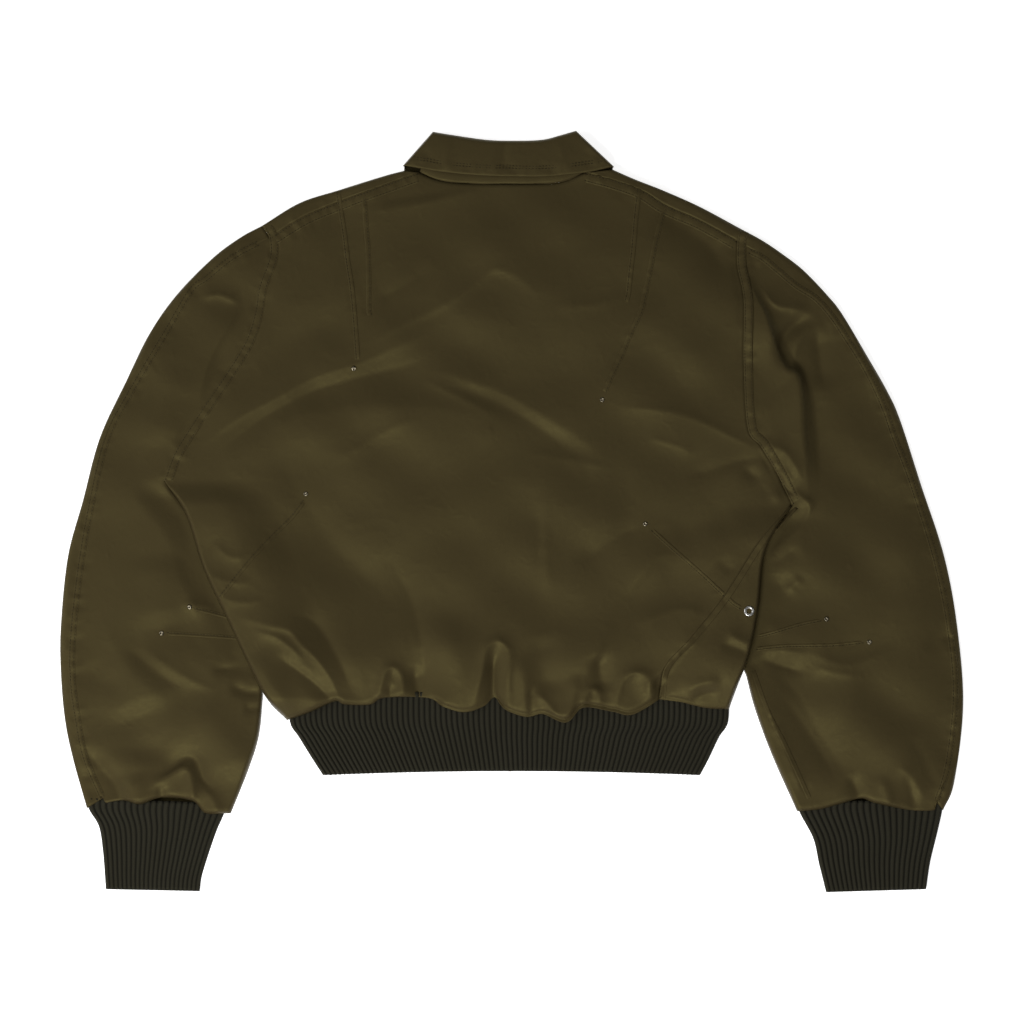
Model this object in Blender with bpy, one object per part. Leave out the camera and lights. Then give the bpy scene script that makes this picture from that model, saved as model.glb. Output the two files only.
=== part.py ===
"""Bomber jacket lying flat on its front, with its back up and its collar towards +Y.

Each cut piece is a closed cloth wall. The fronts and the under halves of the sleeves lie on the floor at
z = 0, the back and the upper halves lie on them, and the sides of the body lie over the sleeves.
Every length below is in millimetres: "across" runs along +X, "along" runs along +Y.
"""
import math

import bmesh
import bpy
import numpy as np
from mathutils import Vector
from mathutils.bvhtree import BVHTree

MM = 0.001

# Cloth and its layers
CLOTH = 2.0                 # outer nylon and what backs it
SEAM_GAP = 0.3
MEET_GAP = 0.8              # between the upper and the lower layer along a free edge
EDGE_TRIM = 0.35            # taken off each side of a seam
LAID_HEIGHT = 7.0           # two layers of cloth and the air left between them
SLEEVE_LIFT = 7.4           # the sides of the body lie this high, over a sleeve
COLLAR_LIFT = 2.4           # the neck lies this high, over the front of the collar leaf

# Where the body rises over a sleeve: where the rise starts below the armpit and over what length, where it
# ends above the hem and over what length, and how far inside the side edge it stays full and dies away
RISE_LEFT = (31, 24, -208, 24)
RISE_RIGHT = (7, 36, -197, 30)
RISE_REACH = (95, 55)
# Where the neck rises over the collar leaf: the middle and half sizes of an ellipse, and its blend
NECK_MIDDLE = (-3, 345)
NECK_HALF_SIZE = (128, 132)
NECK_BLEND = (1.5, 0.4)
# A sleeve's folds stand free below this line, and beyond this distance from its inner edge
FREE_BELOW = (-175, 20)
FREE_BEYOND = (22, 30)

# Columns and rows of the panels
ARMHOLE_STEPS = 8
SIDE_STEPS = 9
SHOULDER_STEPS = 6
NECK_STEPS = 8
SLEEVE_STEPS = 18
SLEEVE_COLUMNS = 8
SIDE_TIP = 0.3              # how far below the armpit the side panel starts, as a share of one row
HEAD_TIP = 0.12             # width left at the top of a sleeve's upper half, as a share of one row
ROLL_ANGLES = (-45.0, 0.0, 45.0)

# Widths
OUTER_SEAM_SET_BACK = 17.0  # the sleeve's front half turns over the outer edge as far as this
ZIP_CENTRE = -3.0
ZIP_SLOT = 12.0             # between the two fronts
RIB_WALL = 2.4
SLOT_CLEAR = 4.0            # no column of points lies closer to the zip's slot

# Outlines, each a table of (across, along)
SHOULDER_SEAM_LEFT = ((-242, 274), (-208, 295), (-170, 311), (-132, 325), (-93, 339))
SHOULDER_SEAM_RIGHT = ((73, 339), (103, 331), (130, 321), (154, 306), (188, 291), (226, 270))
SHOULDER_EDGE_LEFT = ((-250, 286), (-212, 309), (-172, 322), (-127, 336), (-108, 341))
SHOULDER_EDGE_RIGHT = ((101, 342), (124, 332), (152, 321), (188, 305), (229, 283))
NECK_SEAM_BACK = ((-93, 339), (-77, 332), (-52, 328), (1, 327), (47, 329), (73, 339))
NECK_SEAM_FRONT_LEFT = ((-93, 339), (-72, 298), (-40, 271), (-9, 262))
NECK_SEAM_FRONT_RIGHT = ((3, 262), (34, 271), (58, 298), (73, 339))
ARMHOLE_LEFT = ((-242, 274), (-242, 254), (-252, 226), (-257, 197), (-266, 170), (-286, 137),
                (-313, 97), (-336, 60), (-347, 31))
ARMHOLE_RIGHT = ((226, 270), (226, 245), (232, 212), (232, 152), (236, 85), (249, 66), (264, 41), (281, 7))
SIDE_LEFT = ((-347, 31), (-326, -2), (-308, -57), (-284, -108), (-249, -180), (-225, -208))
SIDE_RIGHT = ((281, 7), (262, -20), (251, -48), (246, -97), (237, -142), (224, -177), (217, -197))
SIDE_SEAM_RIGHT = ((281, 7), (250, -26), (213, -83), (181, -123), (154, -153), (147, -187))
HEM_LEFT_TO_SIDE_SEAM = ((-225, -208), (-202, -199), (-177, -190), (-142, -192), (-84, -186), (-47, -198),
                         (-17, -185), (31, -199), (54, -205), (101, -197), (147, -187))
HEM_SIDE_SEAM_TO_RIGHT = ((147, -187), (167, -189), (193, -195), (217, -197))
# A sleeve's outer edge, how far its inner edge lies under the side of the body from the armpit down
# (a negative one stops short of it), and its inner edge from where it comes out to the cuff
SLEEVES = {
    "left": {
        "outer": ((-250, 286), (-272, 274), (-300, 253), (-336, 216), (-363, 177), (-386, 130), (-412, 74),
                  (-429, 11), (-444, -45), (-451, -114), (-451, -160), (-447, -207), (-439, -246), (-425, -296)),
        "under": (-1.5, 5, 9, 9, 8, 4),
        "inner": ((-249, -184), (-253, -223), (-263, -256), (-281, -301)),
    },
    "right": {
        "outer": ((229, 283), (251, 271), (273, 256), (292, 241), (315, 217), (330, 198), (355, 156), (375, 121),
                  (388, 92), (409, 27), (432, -44), (445, -114), (451, -193), (442, -270), (431, -298)),
        "under": (-1.5, -1.0, 5, 8, 8, 4),
        "inner": ((234, -163), (243, -197), (260, -243), (285, -299)),
    },
}

# Ribbed tubes: a row for each ring, (left, right, along at left, along at right)
CUFF_RINGS = {
    "left": ((-424, -283, -296.6, -301.6), (-412, -290, -316, -320), (-408, -303, -345, -348),
             (-404, -310, -377, -379)),
    "right": ((287, 430, -299.6, -298.6), (301, 425, -326, -321), (307, 418, -352, -350),
              (314, 414, -380, -377)),
}
HEM_RINGS = ((-213, 207, -225), (-200, 197, -246), (-189, 188, -263))

# Collar: the stand's upper edge, and the leaf's free edge behind and in front
STAND_TOP = ((-79, 378), (-52, 372), (0, 369), (36, 371), (61, 378))
LEAF_EDGE_BACK = ((-109, 345), (-90, 343), (-50, 337), (0, 335), (50, 336), (85, 340), (102, 345))
LEAF_FRONT_LEFT = ((-109, 345), (-101, 300), (-82, 262), (-52, 232), (-20, 246))
LEAF_FRONT_RIGHT = ((14, 246), (44, 232), (72, 262), (93, 300), (102, 345))
STAND_TOP_FRONT_LEFT = ((-79, 378), (-66, 338), (-42, 310), (-10, 300))
STAND_TOP_FRONT_RIGHT = ((4, 300), (34, 310), (52, 338), (61, 378))

LEAF_SPREAD = 3.2           # the leaf is this much wider than the stand at each end of the fold
LEAF_PAST = 1.5             # and its fold lies this far past the stand's upper edge
NECK_END = 0.8              # the stand's two upper ends are drawn in by this much
COLLAR_SHARES = (0.0, 0.5, 1.0)
CUFF_COLUMNS = 6

# Largest folds of the cloth that lies on top: from, to, half width, height
FOLDS = (
    ((-316, 67), (-116, 160), 22, 3.2),
    ((-100, 139), (100, 47), 24, 3.0),
    ((-60, 236), (30, 236), 26, 1.4),
    ((-127, -41), (-86, -167), 16, 2.4),
    ((-273, -107), (-167, -190), 18, 3.4),
    ((33, 27), (33, -88), 14, 1.6),
    ((144, -44), (68, -173), 20, 2.8),
    ((-18, -128), (-18, -180), 12, 4.2),
    ((120, -150), (120, -180), 13, 3.6),
    ((-120, -160), (-95, -182), 12, 3.0),
    ((54, -180), (56, -200), 12, 3.2),
    ((216, 68), (252, 60), 10, 2.2),
    ((262, 200), (292, 90), 20, 4.0),
    ((-308, 216), (-296, 167), 16, 2.4),
    ((-412, -108), (-327, -178), 22, 2.4),
    ((-372, -255), (-330, -262), 14, 3.8),
    ((237, -152), (301, -205), 16, 2.6),
    ((352, -282), (352, -240), 14, 3.0),
    ((296, 20), (262, -40), 14, 3.6),
)

# Hardware: name, across, along
RIVETS = (
    ("rivet_back_1", -158, 143), ("rivet_back_2", 90, 112), ("rivet_back_3", -206, 18), ("rivet_back_4", 133, -12),
    ("rivet_sleeve_1", -322, -95), ("rivet_sleeve_2", -350, -121), ("rivet_sleeve_3", 314, -107),
    ("rivet_sleeve_4", 357, -130),
)
RIVET_RADIUS = 3.0
RIVET_HEIGHT = 1.0
RIVET_CROWN = 0.62          # share of its radius that its flat top has
RIVET_SIDES = 12
EYELET = ("eyelet", 236.5, -99)
EYELET_RADIUS = 5.3
EYELET_HOLE = 2.4
EYELET_HEIGHT = 1.3
EYELET_SHOULDER = 0.7       # share of its height where its rounded top starts
EYELET_OUTER_RUN = 0.5
EYELET_INNER_RUN = 0.3
EYELET_SIDES = 18

# Zip: tapes inside the two fronts, a chain of closed teeth in the slot, a slider at its top and its pull tab
ZIP_STEPS = 18
TAPE_WIDTH = 14.0
TAPE_GAP = 0.5
TAPE = 1.0
TEETH_WIDTH = 5.0
TEETH = 2.0
ZIP_TOP = 244.5
ZIP_FOOT = -262.0
SLIDER_LENGTH = 11.0
SLIDER_WIDTH = 8.6
SLIDER_NECK = 5.0
SLIDER = 2.9
BAIL_WIDTH = 1.8
BAIL_LENGTH = 7.0
BAIL_DROP = 2.0
BAIL_WIRE = 0.6
PULL_LENGTH = 25.0
PULL_WIDTH = 6.5
PULL = 0.8
PULL_BAR = 0.9
PULL_CORNER = 1.4
PULL_WINDOW = (3.6, 6.0)
PULL_PLAY = 0.7             # from the slider's underside to the middle of the pull's bar

COLOURS = {
    "nylon": (0.050, 0.037, 0.015),
    "rib": (0.022, 0.019, 0.010),
    "tape": (0.030, 0.023, 0.012),
    "steel": (0.62, 0.61, 0.58),
}


def clear_scene():
    for old in list(bpy.data.objects):
        bpy.data.objects.remove(old, do_unlink=True)


def finish(kind, roughness, metallic):
    """One Principled material for each sort of stuff."""
    name = "jacket_" + kind
    found = bpy.data.materials.get(name)
    if found:
        return found
    made = bpy.data.materials.new(name)
    made.use_nodes = True
    shader = made.node_tree.nodes["Principled BSDF"]
    shader.inputs["Base Color"].default_value = (*COLOURS[kind], 1.0)
    shader.inputs["Roughness"].default_value = roughness
    shader.inputs["Metallic"].default_value = metallic
    return made


def curve(table, count):
    """A smooth line through the table's points, read at count places that are evenly spaced."""
    points = np.array(table, float)
    padded = np.vstack([2 * points[0] - points[1], points, 2 * points[-1] - points[-2]])
    fine = []
    for k in range(len(points) - 1):
        a, b, c, d = padded[k:k + 4]
        for t in np.linspace(0, 1, 24, endpoint=False):
            fine.append(0.5 * (2 * b + (c - a) * t + (2 * a - 5 * b + 4 * c - d) * t * t
                               + (3 * b - a - 3 * c + d) * t ** 3))
    fine.append(points[-1])
    fine = np.array(fine)
    run = distances(fine)
    want = np.linspace(0, 1, count)
    return np.column_stack([np.interp(want, run, fine[:, 0]), np.interp(want, run, fine[:, 1])])


def distances(line):
    """How far along a line each of its points lies, from 0 to 1."""
    steps = np.linalg.norm(np.diff(line, axis=0), axis=1)
    run = np.concatenate([[0], np.cumsum(steps)])
    return run / run[-1]


def patch(top, bottom, left, right):
    """A grid of points that fills four seam lines; top and bottom run across, left and right run down."""
    u = distances(top)[None, :]
    v_left = distances(left)[:, None]
    v_right = distances(right)[:, None]
    u_low = distances(bottom)[None, :]
    v = v_left * (1 - u) + v_right * u
    u = u * (1 - v) + u_low * v
    u = u[..., None]
    v = v[..., None]
    grid = (1 - v) * top[None] + v * bottom[None] + (1 - u) * left[:, None] + u * right[:, None]
    grid -= (1 - u) * (1 - v) * top[0] + u * (1 - v) * top[-1] + (1 - u) * v * bottom[0] + u * v * bottom[-1]
    return grid


def trim(grid, sides="nsew"):
    """Takes EDGE_TRIM off the named sides of a patch, so that neighbours stay a seam gap apart."""
    cut = grid.copy()
    for side, edge, inner in (("n", np.s_[0, :], np.s_[1, :]), ("s", np.s_[-1, :], np.s_[-2, :]),
                              ("w", np.s_[:, 0], np.s_[:, 1]), ("e", np.s_[:, -1], np.s_[:, -2])):
        if side in sides:
            step = grid[inner] - grid[edge]
            length = np.linalg.norm(step, axis=-1, keepdims=True)
            cut[edge] += step / np.maximum(length, 1e-6) * EDGE_TRIM
    return cut


def smooth(value):
    value = np.clip(value, 0, 1)
    return value * value * (3 - 2 * value)


def lift(across, along):
    """How far the body is raised: over the sleeves at its sides, and over the collar leaf at its neck."""
    left = np.array(SIDE_LEFT, float)[::-1]
    right = np.array(SIDE_RIGHT, float)[::-1]
    from_left = across - np.interp(along, left[:, 1], left[:, 0])
    from_right = np.interp(along, right[:, 1], right[:, 0]) - across
    over_sleeve = []
    for inside, (armpit, rise, hem, fall) in ((from_left, RISE_LEFT), (from_right, RISE_RIGHT)):
        over_sleeve.append(smooth((armpit - along) / rise) * smooth((along - hem) / fall)
                           * smooth((RISE_REACH[0] - inside) / RISE_REACH[1]))
    reach = np.hypot((across - NECK_MIDDLE[0]) / NECK_HALF_SIZE[0], (along - NECK_MIDDLE[1]) / NECK_HALF_SIZE[1])
    over_leaf = smooth((NECK_BLEND[0] - reach) / NECK_BLEND[1])
    return SLEEVE_LIFT * np.maximum(*over_sleeve) + COLLAR_LIFT * over_leaf


def folds(across, along):
    """Height of the largest folds above the laid cloth."""
    total = np.zeros(np.shape(across))
    for start, end, half_width, height in FOLDS:
        a, b = np.array(start, float), np.array(end, float)
        way = b - a
        length = np.linalg.norm(way)
        t = ((across - a[0]) * way[0] + (along - a[1]) * way[1]) / length ** 2
        near = np.clip(t, 0, 1)
        off = np.hypot(across - a[0] - near * way[0], along - a[1] - near * way[1])
        total += height * np.exp(-(off / half_width) ** 2)
    return total


def layers(grid, low):
    """The two faces of a laid panel, from the height of its lower face."""
    under = np.dstack([grid, low])
    over = np.dstack([grid, low + CLOTH])
    return under, over


def roll(edge, inward, low, high, wall=CLOTH):
    """A rounded edge between a lower and an upper layer: outer and inner points from low to high."""
    radius = (high - low) / 2
    outside, inside = [], []
    for angle in ROLL_ANGLES:
        turn = math.radians(angle)
        for points, reach in ((outside, radius), (inside, radius - wall)):
            place = edge + inward * (radius - reach * math.cos(turn))
            points.append((place[0], place[1], (low + high) / 2 + reach * math.sin(turn)))
    return outside, inside


def cloth_wall(name, outside, inside, kind="nylon", missing=(), ring=False, roughness=0.45):
    """A closed wall between two grids of points: a grid, its missing cells cut out, extruded to its thickness."""
    outside = np.asarray(outside, float) * MM
    inside = np.asarray(inside, float) * MM
    rows, columns = outside.shape[:2]
    bm = bmesh.new()
    row_of = bm.verts.layers.int.new("row")
    column_of = bm.verts.layers.int.new("column")
    bmesh.ops.create_grid(bm, x_segments=columns - 1, y_segments=rows - 1, size=1)
    for vert in bm.verts:
        vert[column_of] = round((vert.co.x + 1) / 2 * (columns - 1))
        vert[row_of] = round((1 - vert.co.y) / 2 * (rows - 1))
    for vert in bm.verts:
        vert.co = outside[vert[row_of], vert[column_of]]
    gone = []
    for face in bm.faces:
        cell = (min(v[row_of] for v in face.verts), min(v[column_of] for v in face.verts))
        if cell in missing:
            gone.append(face)
    bmesh.ops.delete(bm, geom=gone, context="FACES")
    if ring:
        bmesh.ops.remove_doubles(bm, verts=bm.verts[:], dist=1e-6)
    grown = bmesh.ops.extrude_face_region(bm, geom=bm.faces[:])
    for item in grown["geom"]:
        if isinstance(item, bmesh.types.BMVert):
            item.co = inside[item[row_of], item[column_of]]
    bmesh.ops.triangulate(bm, faces=bm.faces[:])
    face_out(bm)
    return add_object(name, bm, finish(kind, roughness, 0.0))


def face_out(bm):
    bmesh.ops.recalc_face_normals(bm, faces=bm.faces[:])
    if bm.calc_volume(signed=True) < 0:
        bmesh.ops.reverse_faces(bm, faces=bm.faces[:])


def add_object(name, bm, material):
    mesh = bpy.data.meshes.new(name)
    bm.to_mesh(mesh)
    bm.free()
    mesh.materials.append(material)
    mesh.shade_smooth()
    made = bpy.data.objects.new(name, mesh)
    bpy.context.scene.collection.objects.link(made)
    return made


# ---------------------------------------------------------------- body

def body_lines():
    """The seam lines that the body's pieces share, each read at its own columns or rows."""
    lines = {
        "shoulder_left": curve(SHOULDER_SEAM_LEFT, SHOULDER_STEPS + 1),
        "shoulder_right": curve(SHOULDER_SEAM_RIGHT, SHOULDER_STEPS + 1),
        "neck_back": curve(NECK_SEAM_BACK, NECK_STEPS + 1),
        "armhole_left": curve(ARMHOLE_LEFT, ARMHOLE_STEPS + 1),
        "armhole_right": curve(ARMHOLE_RIGHT, ARMHOLE_STEPS + 1),
        "side_left": curve(SIDE_LEFT, SIDE_STEPS + 1),
        "side_right": curve(SIDE_RIGHT, SIDE_STEPS + 1),
        "side_seam": curve(SIDE_SEAM_RIGHT, SIDE_STEPS + 1),
        "hem_back": curve(HEM_LEFT_TO_SIDE_SEAM, 2 * SHOULDER_STEPS + NECK_STEPS + 1),
        "hem_side": curve(HEM_SIDE_SEAM_TO_RIGHT, 4),
    }
    for side, table in (("left", NECK_SEAM_FRONT_LEFT), ("right", NECK_SEAM_FRONT_RIGHT[::-1])):
        neck_steps = len(front_columns(lines, side)) - 1 - SHOULDER_STEPS
        lines["neck_front_" + side] = curve(table, neck_steps + 1)
    return lines


def meet_edge(low, grid, cells):
    """Lets the upper layer come down to the lower one along its free edge."""
    for row, column in cells:
        place = grid[row, column]
        low[row, column] = lift(place[0], place[1]) + CLOTH + MEET_GAP
    return low


def back_panel(lines):
    top = np.vstack([lines["shoulder_left"], lines["neck_back"][1:], lines["shoulder_right"][1:]])
    left = np.vstack([lines["armhole_left"], lines["side_left"][1:]])
    right = np.vstack([lines["armhole_right"], lines["side_seam"][1:]])
    grid = trim(patch(top, lines["hem_back"], left, right))
    low = lift(grid[..., 0], grid[..., 1]) + LAID_HEIGHT - CLOTH + folds(grid[..., 0], grid[..., 1])
    low = meet_edge(low, grid, [(row, 0) for row in range(ARMHOLE_STEPS, len(left))])
    under, over = layers(grid, low)
    return cloth_wall("back_panel", over, under)


def side_panel(lines):
    """The strip of the right front that turns round the side as far as the side seam."""
    left = lines["side_seam"].copy()
    right = lines["side_right"].copy()
    for line in (left, right):
        line[0] += (line[1] - line[0]) * SIDE_TIP
    top = np.linspace(left[0], right[0], len(lines["hem_side"]))
    grid = trim(patch(top, lines["hem_side"], left, right))
    low = lift(grid[..., 0], grid[..., 1]) + LAID_HEIGHT - CLOTH + folds(grid[..., 0], grid[..., 1])
    low = meet_edge(low, grid, [(row, grid.shape[1] - 1) for row in range(grid.shape[0])])
    under, over = layers(grid, low)
    return cloth_wall("side_panel_right", over, under)


def hem_under(lines):
    """The hem line of the whole body, from its left side to its right."""
    return np.vstack([lines["hem_back"], lines["hem_side"][1:]])


def on_hem(lines, across):
    hem = hem_under(lines)
    return np.column_stack([across, np.interp(across, hem[:, 0], hem[:, 1])])


def front_columns(lines, side):
    """Where one front's columns end along the hem, from its outer edge to the zip."""
    hem = hem_under(lines)
    if side == "left":
        edge = ZIP_CENTRE - ZIP_SLOT / 2
        across = hem[hem[:, 0] < edge - SLOT_CLEAR, 0]
    else:
        edge = ZIP_CENTRE + ZIP_SLOT / 2
        across = hem[hem[:, 0] > edge + SLOT_CLEAR, 0][::-1]
    return np.append(across, edge)


def front(lines, side):
    """One front: its body part on the floor, and the turn over the shoulder as far as the shoulder seam."""
    left = side == "left"
    seam = lines["shoulder_" + side] if left else lines["shoulder_right"][::-1]
    edge = curve(SHOULDER_EDGE_LEFT if left else SHOULDER_EDGE_RIGHT[::-1], SHOULDER_STEPS + 1)
    across = front_columns(lines, side)
    neck = lines["neck_front_" + side]
    bottom = on_hem(lines, across)
    inward = seam - edge
    inward /= np.linalg.norm(inward, axis=1)[:, None]
    low = lift(edge[:, 0], edge[:, 1])
    radius = LAID_HEIGHT / 2
    top_turn = edge + inward * radius
    top = np.vstack([top_turn, neck[1:]])
    outer = np.vstack([top_turn[0], lines["armhole_" + side], lines["side_" + side][1:]])
    inner_edge = np.linspace((across[-1], neck[-1][1]), bottom[-1], len(outer))
    grid = trim(patch(top, bottom, outer, inner_edge), "swe")
    grid[0, SHOULDER_STEPS + 1:] += (0, -EDGE_TRIM)
    floor = lift(grid[..., 0], grid[..., 1])
    outside = np.dstack([grid, floor])
    inside = np.dstack([grid, floor + CLOTH])
    turn_out, turn_in = [], []
    width = grid.shape[1]
    for column in range(width):
        use = min(column, SHOULDER_STEPS)
        end = seam[use] - inward[use] * EDGE_TRIM
        high = low[use] + LAID_HEIGHT
        rim, lining = roll(edge[use], inward[use], low[use], high)
        flat = edge[use] + inward[use] * radius
        turn_out.append([(*end, high), (*flat, high)] + rim[::-1])
        turn_in.append([(*end, high - CLOTH), (*flat, high - CLOTH)] + lining[::-1])
    turn_out = np.transpose(np.array(turn_out), (1, 0, 2))
    turn_in = np.transpose(np.array(turn_in), (1, 0, 2))
    for part in (turn_out, turn_in):
        step = part[:, 1, :2] - part[:, 0, :2]
        part[:, 0, :2] += step / np.linalg.norm(step, axis=1)[:, None] * EDGE_TRIM
    outside = np.vstack([turn_out, outside])
    inside = np.vstack([turn_in, inside])
    extra = len(turn_out)
    missing = {(row, column) for row in range(extra) for column in range(SHOULDER_STEPS, width - 1)}
    return cloth_wall("front_" + side, outside, inside, missing=missing)


# ---------------------------------------------------------------- sleeves

def sleeve_inner(lines, side):
    """The sleeve's edge along the armhole, under the side of the body, and on to the cuff."""
    shape = SLEEVES[side]
    body_side = lines["side_" + side]
    armhole = lines["armhole_" + side]
    towards_body = 1 if side == "left" else -1
    hidden = [body_side[k + 1] + (towards_body * by, 0) for k, by in enumerate(shape["under"])]
    shown = curve(shape["inner"], SLEEVE_STEPS - ARMHOLE_STEPS - len(hidden))
    return np.vstack([armhole, hidden, shown])


def sleeve(lines, side):
    """The upper half of a sleeve, and the under half that turns over the outer edge to the outer seam."""
    shape = SLEEVES[side]
    outer = curve(shape["outer"], SLEEVE_STEPS + 1)
    inner = sleeve_inner(lines, side)
    head = np.linspace(outer[0], inner[0], SLEEVE_COLUMNS + 1)
    cuff_line = np.linspace(outer[-1], inner[-1], SLEEVE_COLUMNS + 1)
    whole = patch(head, cuff_line, outer, inner)
    ways = whole[:, 1] - whole[:, 0]
    ways /= np.linalg.norm(ways, axis=1)[:, None]
    seam = outer + ways * OUTER_SEAM_SET_BACK
    seam[0] = inner[0] + (outer[1] - outer[0]) * HEAD_TIP
    upper_head = np.linspace(seam[0], inner[0], SLEEVE_COLUMNS + 1)
    upper_cuff = np.linspace(seam[-1], inner[-1], SLEEVE_COLUMNS + 1)
    grid = trim(patch(upper_head, upper_cuff, seam, inner))
    low = LAID_HEIGHT - CLOTH + folds(grid[..., 0], grid[..., 1]) * open_sleeve(grid, inner)
    low[ARMHOLE_STEPS:, -1] = CLOTH + MEET_GAP
    under, over = layers(grid, low)
    cloth_wall("sleeve_%s_back" % side, over, under)

    radius = LAID_HEIGHT / 2
    flat_edge = outer + ways * radius
    lower_head = np.linspace(flat_edge[0], inner[0], SLEEVE_COLUMNS + 1)
    lower_cuff = np.linspace(flat_edge[-1], inner[-1], SLEEVE_COLUMNS + 1)
    lower = trim(patch(lower_head, lower_cuff, flat_edge, inner), "nse")
    turn_out, turn_in = [], []
    for row in range(len(outer)):
        end = seam[row] - ways[row] * EDGE_TRIM
        flat = outer[row] + ways[row] * radius
        rim, lining = roll(outer[row], ways[row], 0.0, LAID_HEIGHT)
        turn_out.append([(*end, LAID_HEIGHT), (*flat, LAID_HEIGHT)] + rim[::-1])
        turn_in.append([(*end, LAID_HEIGHT - CLOTH), (*flat, LAID_HEIGHT - CLOTH)] + lining[::-1])
    turn_out, turn_in = np.array(turn_out), np.array(turn_in)
    for part in (turn_out, turn_in):
        for row, beside in ((0, 1), (-1, -2)):
            step = part[beside, :, :2] - part[row, :, :2]
            part[row, :, :2] += step / np.linalg.norm(step, axis=1)[:, None] * EDGE_TRIM
    flat = np.zeros(lower.shape[:2])
    outside = np.concatenate([turn_out, np.dstack([lower, flat])], axis=1)
    inside = np.concatenate([turn_in, np.dstack([lower, flat + CLOTH])], axis=1)
    cloth_wall("sleeve_%s_front" % side, outside, inside)


def open_sleeve(grid, inner):
    """1 where a sleeve lies open, 0 within reach of the body that lies over its inner edge."""
    away = np.linalg.norm(grid - inner[:, None], axis=-1)
    below = smooth((FREE_BELOW[0] - inner[:, 1]) / FREE_BELOW[1])[:, None]
    return np.maximum(below, smooth((away - FREE_BEYOND[0]) / FREE_BEYOND[1]))


# ---------------------------------------------------------------- ribs

def ring_row(back, front_left, front_right, low, high, wall, closed):
    """One ring of a flattened tube: along the floor to the left edge, over the top, and back along the floor."""
    radius = (high - low) / 2
    left_edge, right_edge = back[0], back[-1]
    outside, inside = [], []

    def lay(points, level_out, level_in):
        for place in points:
            outside.append((place[0], place[1], level_out))
            inside.append((place[0], place[1], level_in))

    def turn(edge, inward, upwards):
        rim, lining = roll(edge, inward, low, high, wall)
        outside.extend(rim if upwards else rim[::-1])
        inside.extend(lining if upwards else lining[::-1])

    way = np.array([1.0, 0.0])
    left_start = left_edge + way * radius
    right_start = right_edge - way * radius
    if closed:
        lay([left_start], low, low + wall)
    else:
        lay(front_left[::-1], low, low + wall)
        lay([left_start], low, low + wall)
    turn(left_edge, way, True)
    lay([left_start], high, high - wall)
    lay(back[1:-1], high, high - wall)
    lay([right_start], high, high - wall)
    turn(right_edge, -way, False)
    lay([right_start], low, low + wall)
    lay(front_right[::-1], low, low + wall)
    if closed:
        outside.append(outside[0])
        inside.append(inside[0])
    return outside, inside


def cuff(side):
    outside, inside = [], []
    for left, right, along_left, along_right in CUFF_RINGS[side]:
        back = np.linspace((left, along_left), (right, along_right), CUFF_COLUMNS + 1)
        outer, inner = ring_row(back, None, back[1:-1], 0.0, LAID_HEIGHT - 0.4, RIB_WALL, True)
        outside.append(outer)
        inside.append(inner)
    return cloth_wall("cuff_" + side, outside, inside, kind="rib", ring=True, roughness=0.85)


def hem_rib(lines):
    """The ribbed waistband: a flattened ring, open at the zip."""
    hem = hem_under(lines)
    slot = ZIP_SLOT / 2
    base = hem[:, 0]
    left_to_right = (base - base[0]) / (base[-1] - base[0])
    rows = [hem + (0, -EDGE_TRIM)]
    for left, right, along in HEM_RINGS:
        across = left + (right - left) * left_to_right
        rows.append(np.column_stack([across, np.full(len(across), float(along))]))
    outside, inside = [], []
    for row in rows:
        edge_left = (ZIP_CENTRE - slot, np.interp(ZIP_CENTRE - slot, row[:, 0], row[:, 1]))
        edge_right = (ZIP_CENTRE + slot, np.interp(ZIP_CENTRE + slot, row[:, 0], row[:, 1]))
        picks_left = [k for k in range(1, len(hem)) if hem[k, 0] < ZIP_CENTRE - slot - SLOT_CLEAR]
        picks_right = [k for k in range(len(hem) - 1) if hem[k, 0] > ZIP_CENTRE + slot + SLOT_CLEAR]
        front_left = np.vstack([row[picks_left], edge_left])
        front_right = np.vstack([edge_right, row[picks_right]])
        outer, inner = ring_row(row, front_left, front_right, 0.0, LAID_HEIGHT, RIB_WALL, False)
        outside.append(outer)
        inside.append(inner)
    return cloth_wall("hem_rib", outside, inside, kind="rib", roughness=0.85)


# ---------------------------------------------------------------- collar

def neck_ring(back, front_left, front_right, low, high):
    """One ring of the collar, open at the front."""
    return ring_row(back, front_left, front_right, low, high, CLOTH, False)


def directions(start, end):
    """Unit steps from each point of one line to the matching point of another."""
    step = end - start
    return step / np.linalg.norm(step, axis=1)[:, None]


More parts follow.
